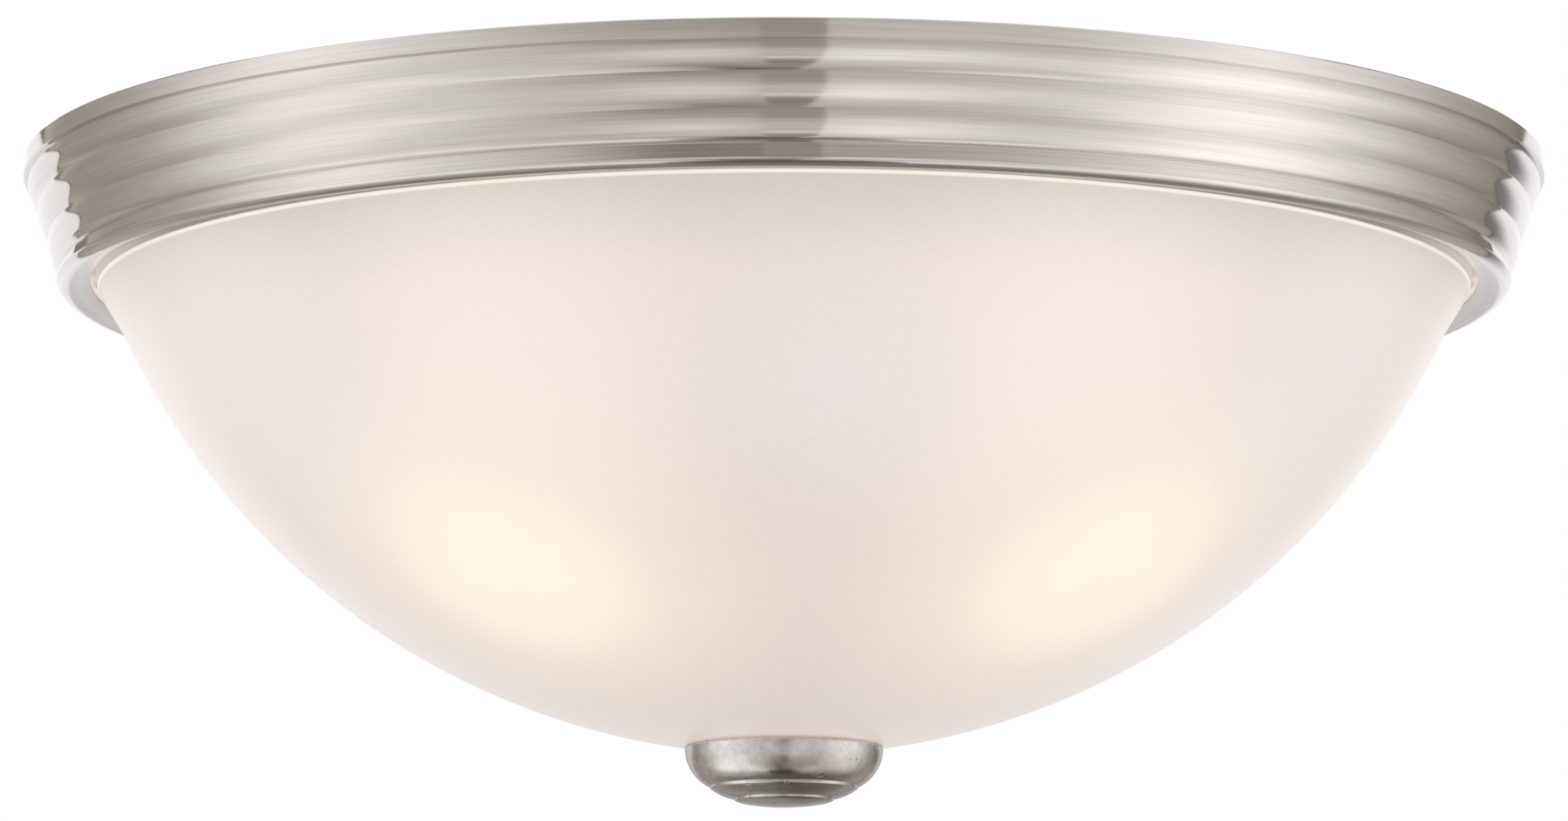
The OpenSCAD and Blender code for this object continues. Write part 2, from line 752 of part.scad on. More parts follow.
module bushing(z, plate_t) {
    translate([0, 0, z]) rotate_extrude($fn = bush_side) polygon([
        [bushing_bore_r, -bushing_flange_t - plate_t], [bushing_r, -bushing_flange_t - plate_t],
        [bushing_r, -plate_t], [bushing_neck_r, -plate_t], [bushing_neck_r, 0], [bushing_r, 0],
        [bushing_r, bushing_flange_t], [bushing_bore_r, bushing_flange_t]
    ]);
}

module lead_bushings() {
    color([0.12, 0.12, 0.12]) {
        translate([0, bushing_y, 0]) bushing(recess_z, sheet_t);
        for (c = lead_hole_centres)
            translate([c.x, c.y, 0]) bushing(reflector_z, reflector_t);
    }
}

module wire_connectors() {
    skirt_h = 3;
    wing = [connector_r * 0.75, 1.6, 6];
    color([0.9, 0.45, 0.12]) for (c = connector_places)
        translate([c.x, c.y, connector_z]) difference() {
            union() {
                rotate_extrude($fn = bush_side) polygon([
                    [0, 0], [connector_r, 0], [connector_r, skirt_h], [connector_r * 0.86, skirt_h * 1.5],
                    [connector_r * 0.62, connector_l - 1], [connector_r * 0.5, connector_l],
                    [0, connector_l]
                ]);
                for (a = [0, 180])
                    rotate(a) translate([connector_r * 0.6, -wing.y / 2, skirt_h]) cube(wing);
            }
            translate([0, 0, -1]) cylinder(r = connector_bore_r, h = connector_bore_l + 1, $fn = bush_side);
        }
}

// Outline of the collar, from inside the glass over its lower edge to above the rim
module collar_outline() {
    bevel = 0.4;
    rise = 2;
    edge = [rim_r - collar_in, rim_z - collar_h];
    foot = [dome_r_at(edge.y - flare_h), edge.y - flare_h];
    top = [rim_r, rim_z];
    along_flare = unit(edge - foot);
    along_collar = unit(top - edge);
    polygon([
        foot - rise * along_flare, edge - bevel * along_flare, edge + bevel * along_collar,
        top + rise * along_collar, [top.x - glass_t, top.y + rise]
    ]);
}

module glass_bowl() {
    color(frosted) difference() {
        union() {
            translate([0, 0, bowl_mid_z]) sphere(r = bowl_r, $fn = 180);
            rotate_extrude($fn = 180) collar_outline();
        }
        translate([0, 0, bowl_mid_z]) sphere(r = bowl_r - glass_t, $fn = 180);
        translate([-far / 2, -far / 2, rim_z]) cube([far, far, far]);
        translate([0, 0, bowl_low_z - 1]) cylinder(r = glass_hole_r, h = glass_t + 2);
    }
}

module rubber_washer() {
    color([0.15, 0.15, 0.15]) ring(rubber_washer_r, washer_hole_r, rubber_low_z, rubber_top_z);
}

module steel_washer() {
    color(steel) ring(steel_washer_r, washer_hole_r, steel_low_z, steel_top_z);
}

module finial() {
    dome_r = (step_2_r * step_2_r + pow(step_2_z - finial_low_z, 2)) / (2 * (step_2_z - finial_low_z));
    dome_half = asin(step_2_r / dome_r);
    cup_r = finial_r - finial_t;
    rim_round = 0.5;
    step_in = 0.35;
    boss_foot = 1.2;
    wall_rise = 3;
    color(nickel) difference() {
        rotate_extrude($fn = 128) polygon(concat(
            [
                [cup_r, finial_top_z], [finial_r - rim_round, finial_top_z],
                [finial_r, finial_top_z - rim_round]
            ],
            without_first(arc([finial_r, finial_top_z - rim_round], [step_1_r, step_1_z], finial_crown)),
            arc([step_1_r - step_in, step_1_z + 0.1], [step_2_r, step_2_z], finial_crown / 3),
            [
                for (i = [0 : arc_steps])
                    let (a = dome_half * (1 - i / arc_steps) - (i == 0 ? 1 : 0))
                    [dome_r * sin(a), finial_low_z + dome_r * (1 - cos(a))]
            ],
            [
                [0, boss_top_z], [boss_r, boss_top_z], [boss_r, finial_bore_low_z + boss_foot],
                [boss_r + 2, finial_bore_low_z], [step_1_r - finial_t, step_1_z + finial_t],
                [cup_r - 1.2, step_1_z + finial_t + wall_rise]
            ]
        ));
        translate([0, 0, finial_bore_low_z]) cylinder(r = nut_bore_r, h = finial_h);
    }
}

module bulb_contact(side) {
    color(brass) at_lamp(side) rotate_extrude($fn = bush_side) polygon(concat(
        [[0, tip_s]],
        [for (a = [20 : 20 : 80]) [tip_r * sin(a), tip_s + 1.4 * (1 - cos(a))]],
        [[tip_r, insulator_s], [0, insulator_s]]
    ));
}

module bulb_insulator(side) {
    color([0.1, 0.1, 0.12]) at_lamp(side) rotate_extrude() polygon([
        [0, insulator_s], [tip_r + 0.8, insulator_s], [insulator_r - 1, cap_s - 0.8],
        [insulator_r, cap_s], [insulator_r, cap_s + 1], [0, cap_s + 1]
    ]);
}

module bulb_cap(side) {
    steps = floor((cap_h - 2) / wave_step);
    wave = [for (i = [0 : steps]) cap_s + thread_start + i * wave_step];
    color([0.82, 0.8, 0.76]) at_lamp(side) rotate_extrude() polygon(concat(
        [[insulator_r + run_gap, cap_s - 0.4], [insulator_r + 0.6, cap_s - 0.4]],
        [for (s = wave) [rolled(cap_mid_r, s), s]],
        [[cap_mid_r + thread_wave, cap_top_s], [cap_mid_r + thread_wave - cap_t, cap_top_s]],
        [for (s = reversed(wave)) [rolled(cap_mid_r - cap_t, s), s]],
        [[insulator_r + run_gap, cap_s + 1]]
    ));
}

// Radius of a bulb's side at a height: a smooth neck that runs into the globe
join_angle = 50;
join_s = globe_s - globe_r * cos(join_angle);
neck_s = cap_top_s + 3;
function smooth(t) = t * t * (3 - 2 * t);
function neck_side(inset) = [
    for (i = [0 : 10])
        let (
            t = i / 10,
            s = neck_s + (join_s - neck_s) * t,
            slope = (join_s - neck_s) / tan(join_angle),
            rise = globe_r * sin(join_angle) - neck_r,
            r = neck_r + rise * smooth(t) + slope * (t * t * t - t * t)
        )
        [r - inset, s]
];
function globe_side(inset) = [
    for (i = [1 : 16])
        let (a = join_angle + (180 - join_angle) * i / 16)
        [(globe_r - inset) * sin(a), globe_s - (globe_r - inset) * cos(a)]
];

module bulb_glass(side) {
    low_r = cap_mid_r - thread_wave - cap_t - seat_gap;
    in_cap = 5;
    past_cap = 0.4;
    inner = concat(
        [[low_r - bulb_glass_t, cap_top_s - in_cap], [low_r - bulb_glass_t, cap_top_s + past_cap]],
        neck_side(bulb_glass_t), globe_side(bulb_glass_t)
    );
    outer = concat(
        [[low_r, cap_top_s - in_cap], [low_r, cap_top_s + past_cap]], neck_side(0), globe_side(0)
    );
    color(frosted) at_lamp(side) rotate_extrude() polygon(concat(outer, reversed(inner)));
}

module bulb_stem(side) {
    color([0.85, 0.9, 0.9, 0.5]) at_lamp(side) rotate_extrude($fn = bush_side) polygon([
        [0, cap_s + 1], [stem_r + 2.4, cap_s + 1], [stem_r + 2.4, cap_s + 3], [stem_r - 1, cap_top_s],
        [3, cap_top_s + 6], [2.4, stem_top_s - 3], [3, stem_top_s - 1], [2.4, stem_top_s], [0, stem_top_s]
    ]);
}

module bulb_filament(side) {
    wire_r = 0.4;
    foot_x = 2.2;
    arch = 10;
    spread = filament_w / 2 - foot_x;
    leg_l = sqrt(arch * arch + spread * spread);
    color([0.5, 0.5, 0.52]) at_lamp(side) translate([0, 0, stem_top_s + wire_r]) {
        for (end = [-1, 1])
            translate([end * foot_x, 0, 0]) rotate([0, end * atan(spread / arch), 0]) {
                cylinder(r = wire_r, h = leg_l + wire_r, $fn = 16);
            }
        translate([-filament_w / 2, 0, arch]) rotate([0, 90, 0]) {
            cylinder(r = wire_r * 1.6, h = filament_w, $fn = 16);
        }
    }
}

pan();
insulation_pad();
reflector();
reflector_screws();
mounting_bar();
box_screws();
bar_nut();
ground_screw();
ground_wire();
threaded_rod();
pan_washer();
lock_washer();
pan_nut();
lampholder_bracket(-1);  // lampholder_bracket_1
lampholder_bracket(1);  // lampholder_bracket_2
bracket_rivets();
lampholder_screws();
lampholder_body(-1);  // lampholder_body_1
lampholder_body(1);  // lampholder_body_2
lampholder_shell(-1);  // lampholder_shell_1
lampholder_shell(1);  // lampholder_shell_2
lampholder_contact(-1);  // lampholder_contact_1
lampholder_contact(1);  // lampholder_contact_2
lead(black_route, -1, [0.1, 0.1, 0.1]);  // black_lead_1
lead(black_route, 1, [0.1, 0.1, 0.1]);  // black_lead_2
lead(white_route, -1, [0.92, 0.92, 0.9]);  // white_lead_1
lead(white_route, 1, [0.92, 0.92, 0.9]);  // white_lead_2
lead_bushings();
wire_connectors();
glass_bowl();
rubber_washer();
steel_washer();
finial();
bulb_contact(-1);  // bulb_contact_1
bulb_contact(1);  // bulb_contact_2
bulb_insulator(-1);  // bulb_insulator_1
bulb_insulator(1);  // bulb_insulator_2
bulb_cap(-1);  // bulb_cap_1
bulb_cap(1);  // bulb_cap_2
bulb_glass(-1);  // bulb_glass_1
bulb_glass(1);  // bulb_glass_2
bulb_stem(-1);  // bulb_stem_1
bulb_stem(1);  // bulb_stem_2
bulb_filament(-1);  // bulb_filament_1
bulb_filament(1);  // bulb_filament_2
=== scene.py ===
import json
import math

import bmesh
import bpy
from mathutils import Matrix, Vector, noise

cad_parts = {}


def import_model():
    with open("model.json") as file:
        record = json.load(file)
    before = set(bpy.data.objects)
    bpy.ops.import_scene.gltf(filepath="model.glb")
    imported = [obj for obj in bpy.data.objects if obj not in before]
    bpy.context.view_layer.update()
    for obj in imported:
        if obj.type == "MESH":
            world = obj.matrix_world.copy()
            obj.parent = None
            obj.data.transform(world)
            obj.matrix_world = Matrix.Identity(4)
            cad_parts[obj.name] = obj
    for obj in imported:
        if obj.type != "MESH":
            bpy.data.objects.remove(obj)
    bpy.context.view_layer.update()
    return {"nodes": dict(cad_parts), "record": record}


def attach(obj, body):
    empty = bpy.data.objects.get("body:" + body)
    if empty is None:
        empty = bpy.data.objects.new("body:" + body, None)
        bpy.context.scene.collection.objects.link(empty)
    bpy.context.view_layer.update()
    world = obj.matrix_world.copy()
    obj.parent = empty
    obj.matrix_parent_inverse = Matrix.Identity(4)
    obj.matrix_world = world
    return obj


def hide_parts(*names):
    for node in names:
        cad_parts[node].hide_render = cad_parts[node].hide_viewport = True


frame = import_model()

MM = 0.001

# Meshes: a radius that counts as none, the least angle of a sharp edge, in degrees, and the
# number of sides or steps of round things
ON_AXIS = 1e-6
SHARP_ANGLE = 32
PAN_SIDES = 360
BOWL_SIDES = 360
FINIAL_SIDES = 256
BULB_SIDES = 96
PAD_SIDES = 420
DRILL_SIDES = 64
ARC_STEPS = 20
DOME_STEPS = 96
CUP_STEPS = 28
NECK_STEPS = 24
GLOBE_STEPS = 40

# Sizes of the glass, in millimetres
BOWL_W = 299.3
BOWL_DEPTH = 105.6
GLASS_T = 4
COLLAR_H = 6.4
COLLAR_IN = 0.9
COLLAR_PAST = 0.15
COLLAR_ROUND = 1.2
FLARE_H = 9
RIM_ROUND = 1.1
RIM_EASE = 0.6
GLASS_HOLE_R = 6.6
HOLE_BEVEL = 0.4
HOLE_RISE = 0.5

# Sizes of the pan: its back, its band, the upper bead and the beads under it, its roll, its lip
SHEET_T = 0.9
PASS_GAP = 0.6
FACE_W = 17
FACE_BEVEL = 0.25
RECESS_D = 9
RECESS_ROUND = 1.5
SLOPE_W = 9
SLOPE_ROUND = 1.2
BAND_H = 3.9
BAND_IN = 1
BAND_FLAT = 3.75
BAND_TURN = 0.1
UPPER_BEAD_H = 5.9
BEAD_COUNT = 2
BEAD_H = 6.9
BEAD_STEP = 2.25
BEAD_CROWN = 0.8
TUCK_IN = 0.45
TUCK_UP = 0.45
TUCK_ROUND = 0.15
ROLL_H = 4.2
ROLL_IN = 2.4
ROLL_FLAT = 2.7
ROLL_FLARE = 0.35
ROLL_TURN = 0.7
ROLL_CROWN = 0.28
FLANGE_W = 4.6
FLANGE_RISE = 1.4
FLANGE_ROUND = 0.1
LIP_ROUND = 0.8
CURL_H = 1.7
CURL_ROUND = 0.2
INNER_ROUND = 0.3
INNER_RECESS_ROUND = 0.6

# The steps at which the arc of the lowest bead ends, at the tuck, and the arc of the roll starts
TUCK_STEP = 17
ROLL_STEP = 4

# Holes of the pan
WASHER_HOLE_R = 5.55
BUSHING_Y = 28
BUSHING_HOLE_R = 5.6
SCREW_COUNT = 4
SCREW_RING_R = 50
SCREW_HOLE_R = 2.13
DRILL_PAST = 2

# Sizes of the stack inside, from the ceiling plane down to the glass
WIRING_H = 7
REFLECTOR_T = 0.7
LEDGE_DROP = 2.7
SEAT_GAP = 0.3

# Sizes of the insulation
PAD_HOLE_R = 62
PAD_T = 7.5
PAD_EDGE_GAP = 2
PAD_RINGS = 60
PAD_EDGE_W = 3

# Lumps of the insulation: how fine each layer is and its share, then how far they reach
LUMP_LAYERS = ((45, 0.9), (160, 0.45), (520, 0.3))
LUMP_RISE = 0.8
LUMP_OUT = 0.4
EDGE_LUMP = 0.6

# Sizes of the lamps, which are numbered from the left
LAMP_SIDES = ((1, -1), (2, 1))
LAMP_X = 52
LAMP_Y = 62
LAMP_Z = 46
LAMP_TILT = 12
HOLDER_FLOOR = 7
CONTACT_RISE = 1.8
BULB_L = 108
GLOBE_R = 30
NECK_R = 13.4
NECK_RISE = 3
BULB_GLASS_T = 0.8
BULB_GLASS_GAP = 0.3
BULB_GLASS_IN_CAP = 5
CAP_R = 13
CAP_T = 0.35
CAP_H = 19
CAP_EDGE = 0.4
TIP_H = 1.4
INSULATOR_H = 4.6
JOIN_ANGLE = 50
THREAD_WAVE = 0.4

# Sizes of the finial
FINIAL_R = 21.4
FINIAL_H = 13
FINIAL_T = 1.7
CUP_CROWN = 1.35
STEP_1_R = 16.3
STEP_1_H = 4.4
STEP_2_R = 11
STEP_2_H = 1.75
STEP_IN = 0.35
STEP_CROWN = 0.3
STEP_ROUND = 0.12
SHOULDER_H = 0.5
SHOULDER_ROUND = 0.55
BOSS_R = 8.4
BOSS_DROP = 3
BOSS_ROUND = 0.3
FILLET = 0.4
FINIAL_BORE_R = 5.2
FINIAL_FLOOR = 2.6

LEAD_R = 1.2

# Heights, all below the ceiling plane and so negative
PLATE_LOW_Z = -RECESS_D - SHEET_T
LEDGE_Z = PLATE_LOW_Z - WIRING_H - REFLECTOR_T - LEDGE_DROP
RIM_Z = LEDGE_Z - SEAT_GAP
BOWL_LOW_Z = RIM_Z - BOWL_DEPTH

# The glass is a cap of a sphere with a collar round its rim
RIM_R = BOWL_W / 2
DOME_RIM_R = RIM_R - COLLAR_PAST
BOWL_R = (DOME_RIM_R**2 + BOWL_DEPTH**2) / (2 * BOWL_DEPTH)
BOWL_MID_Z = BOWL_LOW_Z + BOWL_R
COLLAR_R = RIM_R - COLLAR_IN
COLLAR_Z = RIM_Z - COLLAR_H
FLARE_R = math.sqrt(BOWL_R**2 - (BOWL_MID_Z - COLLAR_Z + FLARE_H) ** 2)

# The ring
PAN_H = BAND_H + UPPER_BEAD_H + BEAD_COUNT * BEAD_H + ROLL_H
LIP_R = RIM_R + PASS_GAP
LOW_R = LIP_R + FLANGE_W
FIRST_GROOVE_R = LOW_R + ROLL_IN + (BEAD_COUNT + 1) * BEAD_STEP
RING_R = FIRST_GROOVE_R + BAND_IN
LIP_LOW_Z = -PAN_H + FLANGE_RISE
CURL_Z = LIP_LOW_Z + LIP_ROUND + CURL_H
RECESS_R = RING_R - FACE_W - SLOPE_W

# How far along the radius the inner side of the sheet is shifted, in the wall and in the slope
STEEP_SHIFT = SHEET_T * 1.05
SLOPE_SHIFT = SHEET_T * 0.4

# The finial
FINIAL_TOP_Z = BOWL_MID_Z - math.sqrt(BOWL_R**2 - FINIAL_R**2) - SEAT_GAP
FINIAL_LOW_Z = FINIAL_TOP_Z - FINIAL_H
BOSS_TOP_Z = BOWL_LOW_Z - BOSS_DROP

# The routes of the leads, from a lampholder through the reflector and the pan
BLACK_ROUTE = [
    (39.5, 62.05, -46), (39.5, 66.9, -44.96), (40.2, 72, -41), (43, 78, -33), (47.5, 83.5, -25.5),
    (50, 86, -20), (50, 86, -17), (49.4, 85, -14.4), (46.5, 79.5, -13.4), (30, 57, -13.4),
    (12, 35.5, -13.4), (4.6, 30.6, -13.2), (2.2, 29.8, -11.6), (1.8, 29.6, -8.5), (1.8, 30, -3),
    (1.7, 33.5, 1.5), (1.5, 37.4, 5), (1.5, 38, 8), (1.5, 38, 15),
]
WHITE_ROUTE = [
    (64.5, 62.05, -46), (64.5, 66.9, -44.96), (63.8, 72, -41), (61, 78, -33), (56.5, 83.5, -25.5),
    (54, 86, -20), (54, 86, -17), (53.4, 84.6, -14.4), (49.5, 76.5, -13.4), (36, 54, -13.4),
    (18, 32, -13.4), (5.6, 26.6, -13.2), (2.3, 26.3, -11.6), (1.8, 26.4, -8.5), (1.8, 26, -3),
    (1.7, 23.2, 1.5), (1.5, 19.6, 5), (1.5, 19, 8), (1.5, 19, 15),
]
GROUND_ROUTE = [
    (-30, -3.4, -3.6), (-24, -3.4, -3.6), (-18, -5.4, -3.6), (-13.6, -9.5, -3.7),
    (-11.6, -12.6, -3.5), (-10.5, -14.4, -1.2), (-10, -16.5, 2.5), (-10, -18, 7), (-10, -18, 15),
]

# Places on the glass, in millimetres: the hot spots in front of the bulbs, the warm light above
# them, the cooler light between and beside them with its reach, and the light round the finial
HOT_SPOTS = [(-55.8, -72.2, -97.4), (64.6, -65.2, -96.4)]
WARM_SPOTS = [(-53, -116, -60), (53, -116, -60)]
COOL_SPOTS = [((9, -124, -64), 38), ((-112, -74, -52), 56), ((116, -66, -52), 52)]
LOW_SPOT = (0, -46, -119)

# The light that comes through the glass: the plain field and its mottle, then what each place
# turns it towards
FIELD_GLOW = (0.45, 0.362, 0.322, 1)
MOTTLE_GLOW = (0.45, 0.39, 0.36, 1)
RIM_GLOW = (0.35, 0.305, 0.26, 1)
LOW_GLOW = (0.42, 0.345, 0.31, 1)
WARM_GLOW = (0.55, 0.455, 0.41, 1)
COOL_GLOW = (0.445, 0.41, 0.4, 1)
HOT_GLOW = (0.57, 0.475, 0.4, 1)
CORE_GLOW = (0.67, 0.575, 0.44, 1)
EDGE_GLOW = (0.62, 0.58, 0.52, 1)
COLLAR_GLOW = (0.06, 0.05, 0.04, 1)
SIDE_COLLAR_GLOW = (0.27, 0.26, 0.25, 1)
INSIDE_GLOW = (0.5, 0.45, 0.4, 1)
GRAZING_GLOW = (0.3, 0.28, 0.27, 1)

# Light from the bulbs on the faces of the ring that look inward, over the lip. A face looks inward
# when the product of its normal and its place, in metres, is below the limit.
LIP_LIGHT = (0.3, 0.28, 0.26, 1)
INWARD_LIMIT = -0.1

# Painted dark reflection on the front of the finial, darkening its colour: place, reach and share
DARK_REFLECTION_SPOTS = [
    ((1.5, -17, -131), 11, 0.7), ((10, -16, -130), 9, 0.5), ((5, -10, -137.5), 10, 0.55),
]


# Outlines

def arc(p, q, crown, steps=ARC_STEPS):
    """Points from p to q along an arc that bulges by crown to the left of that direction."""
    (px, py), (qx, qy) = p, q
    chord = math.hypot(qx - px, qy - py)
    dx, dy = (qx - px) / chord, (qy - py) / chord
    nx, ny = -dy, dx
    radius = (chord * chord / 4 + crown * crown) / (2 * crown)
    mx, my = (px + qx) / 2 - nx * (radius - crown), (py + qy) / 2 - ny * (radius - crown)
    half = math.asin(chord / 2 / radius)
    points = []
    for i in range(steps + 1):
        a = -half + 2 * half * i / steps
        points.append((mx + radius * (math.cos(a) * nx + math.sin(a) * dx),
                       my + radius * (math.cos(a) * ny + math.sin(a) * dy)))
    return points


def rounded(points, steps=4):
    """A closed outline whose corners with a third value, a radius, are rounded. A rounding takes
    no more than the side share of either side next to it."""
    side_share = 0.45
    out = []
    count = len(points)
    for i, point in enumerate(points):
        if len(point) < 3:
            out.append(tuple(point))
            continue
        corner = Vector(point[:2])
        before = Vector(points[i - 1][:2]) - corner
        after = Vector(points[(i + 1) % count][:2]) - corner
        half = before.angle(after) / 2
        longest = min(before.length * side_share, after.length * side_share)
        reach = min(point[2] / math.tan(half), longest)
        start, end = corner + before.normalized() * reach, corner + after.normalized() * reach
        for k in range(steps + 1):
            t = k / steps
            bend = start * (1 - t) ** 2 + corner * 2 * t * (1 - t) + end * t * t
            out.append((bend.x, bend.y))
    return out


def sphere_arc(radius, middle_z, r_from, r_to, steps=ARC_STEPS):
    """Points on the lower half of a circle round the axis, from one distance to another."""
    a, b = math.asin(r_from / radius), math.asin(r_to / radius)
    angles = [a + (b - a) * i / steps for i in range(steps + 1)]
    return [(radius * math.sin(t), middle_z - radius * math.cos(t)) for t in angles]


# Meshes

def add_object(name, mesh):
    piece = bpy.data.objects.new(name, mesh)
    bpy.context.scene.collection.objects.link(piece)
    return piece


def smooth_by_angle(mesh, degrees=SHARP_ANGLE):
    mesh.shade_smooth()
    mesh.set_sharp_from_angle(angle=math.radians(degrees))


def lathe(name, outline, sides, sharp=SHARP_ANGLE, matrix=None):
    """Turns a closed outline of (radius, height) points, in millimetres, round the Z axis."""
    work = bmesh.new()
    angles = [2 * math.pi * k / sides for k in range(sides)]
    rings = []
    for r, z in outline:
        if r < ON_AXIS:
            rings.append([work.verts.new((0, 0, z * MM))])
            continue
        places = [(r * MM * math.cos(a), r * MM * math.sin(a), z * MM) for a in angles]
        rings.append([work.verts.new(place) for place in places])
    for i, low in enumerate(rings):
        high = rings[(i + 1) % len(rings)]
        if len(low) == 1 and len(high) == 1:
            continue
        for k in range(sides):
            n = (k + 1) % sides
            lower = [low[k % len(low)], low[n % len(low)]]
            upper = [high[n % len(high)], high[k % len(high)]]
            work.faces.new(list(dict.fromkeys(lower + upper)))
    bmesh.ops.recalc_face_normals(work, faces=work.faces)
    mesh = bpy.data.meshes.new(name)
    work.to_mesh(mesh)
    work.free()
    smooth_by_angle(mesh, sharp)
    piece = add_object(name, mesh)
    if matrix is not None:
        piece.matrix_world = matrix
    return piece


def cut_holes(piece, holes, low_z, high_z):
    """Drills (x, y, radius) holes, in millimetres, through a piece."""
    cutter = bpy.data.meshes.new("drill")
    work = bmesh.new()
    for x, y, r in holes:
        place = Matrix.Translation((x * MM, y * MM, (low_z + high_z) / 2 * MM))
        bmesh.ops.create_cone(work, cap_ends=True, segments=DRILL_SIDES, radius1=r * MM,
                              radius2=r * MM, depth=(high_z - low_z) * MM, matrix=place)
    work.to_mesh(cutter)
    work.free()
    drill = add_object("drill", cutter)
    cut = piece.modifiers.new("holes", "BOOLEAN")
    cut.operation = "DIFFERENCE"
    cut.object = drill
    bpy.context.view_layer.update()
    solid = piece.evaluated_get(bpy.context.evaluated_depsgraph_get())
    mesh = bpy.data.meshes.new_from_object(solid)
    piece.modifiers.clear()
    piece.data = mesh
    bpy.data.objects.remove(drill)
    smooth_by_angle(mesh)


def wire(name, route, side=1):
    """A smooth round wire through the points of a route, mirrored where side is -1."""
    curve = bpy.data.curves.new(name, "CURVE")
    curve.dimensions = "3D"
    curve.bevel_depth = LEAD_R * MM
    curve.bevel_resolution = 4
    curve.resolution_u = 6
    curve.use_fill_caps = True
    spline = curve.splines.new("BEZIER")
    spline.bezier_points.add(len(route) - 1)
    for point, (x, y, z) in zip(spline.bezier_points, route):
        point.co = (side * x * MM, y * MM, z * MM)
        point.handle_left_type = point.handle_right_type = "AUTO"
    return add_object(name, curve)


# Materials

class Shader:
    """A material and short ways to add nodes to it and join them."""

    def __init__(self, name):
        self.material = bpy.data.materials.new(name)
        self.material.use_nodes = True
        self.nodes = self.material.node_tree.nodes
        self.links = self.material.node_tree.links
        self.surface = self.nodes["Principled BSDF"]
        spots = self.nodes.new("ShaderNodeTexCoord").outputs
        self.place, self.facing = spots["Object"], spots["Normal"]

    def node(self, kind, inputs=(), **settings):
        made = self.nodes.new("ShaderNode" + kind)
        for key, value in settings.items():
            setattr(made, key, value)
        for key, value in dict(inputs).items():
            self.put(made.inputs[key], value)
        return made

    def put(self, socket, value):
        if isinstance(value, bpy.types.NodeSocket):
            self.links.new(value, socket)
        else:
            socket.default_value = value

    def set(self, **values):
        """Sets inputs of the surface: base_color is Base Color, and so on."""
        for key, value in values.items():
            self.put(self.surface.inputs[key.replace("_", " ").title().replace("Ior", "IOR")], value)

    def math(self, operation, a, b=0.0):
        return self.node("Math", {0: a, 1: b}, operation=operation).outputs[0]

    def parts(self):
        """The three coordinates of the place."""
        return self.node("SeparateXYZ", {0: self.place}).outputs

    def scaled(self, x, y, z):
        return self.node("Mapping", {"Vector": self.place, "Scale": (x, y, z)}).outputs["Vector"]

    def noise(self, scale, detail=2.0, roughness=0.5, vector=None, distortion=0.0):
        return self.node("TexNoise", {
            "Vector": self.place if vector is None else vector,
            "Scale": scale, "Detail": detail, "Roughness": roughness, "Distortion": distortion,
        }).outputs["Fac"]

    def span(self, value, low, high, from_low=0.0, from_high=1.0, smooth=False):
        """Maps a value from one range to another."""
        inputs = {
            "Value": value, "From Min": from_low, "From Max": from_high, "To Min": low, "To Max": high,
        }
        kind = "SMOOTHSTEP" if smooth else "LINEAR"
        return self.node("MapRange", inputs, interpolation_type=kind).outputs[0]

    def away(self, spot):
        """The distance from a spot, in metres."""
        measured = self.node("VectorMath", {0: self.place, 1: spot}, operation="DISTANCE")
        return measured.outputs["Value"]

    def near(self, spot, inner, outer):
        """1 within the inner distance of a spot and 0 beyond the outer one, in millimetres."""
        return self.span(self.away(tuple(v * MM for v in spot)), 1, 0, inner * MM, outer * MM, True)

    def near_either(self, spots, inner, outer):
        first, second = (self.near(spot, inner, outer) for spot in spots)
        return self.math("MAXIMUM", first, second)

    def mix(self, factor, a, b):
        made = self.node("Mix", data_type="RGBA")
        for socket, value in ((made.inputs[0], factor), (made.inputs[6], a), (made.inputs[7], b)):
            self.put(socket, value)
        return made.outputs[2]

    def share(self, factor, share):
        return self.math("MULTIPLY", factor, share)

    def bump(self, height, strength, distance, under=None):
        made = self.node("Bump", {"Height": height, "Strength": strength, "Distance": distance * MM})
        if under is not None:
            self.links.new(under, made.inputs["Normal"])
        return made.outputs[0]

    def relief(self, bump):
        self.put(self.surface.inputs["Normal"], bump)

    def ring_place(self, along, across):
        """Coordinates drawn out along circles round the Z axis, for turned and brushed surfaces."""
        x, y, z = self.parts()
        squares = self.math("ADD", self.math("MULTIPLY", x, x), self.math("MULTIPLY", y, y))
        depth = self.math("MULTIPLY", self.math("ADD", self.math("SQRT", squares), z), across)
        flat = [self.math("MULTIPLY", v, along) for v in (x, y)]
        return self.node("CombineXYZ", {0: flat[0], 1: flat[1], 2: depth}).outputs[0]


def colour(*shown):
    """A colour given as a screen shows it, from 0 to 255, as the shader wants it."""
    parts = [c / 255 for c in shown]
    line = [c / 12.92 if c <= 0.04045 else ((c + 0.055) / 1.055) ** 2.4 for c in parts]
    return (*line, 1.0)


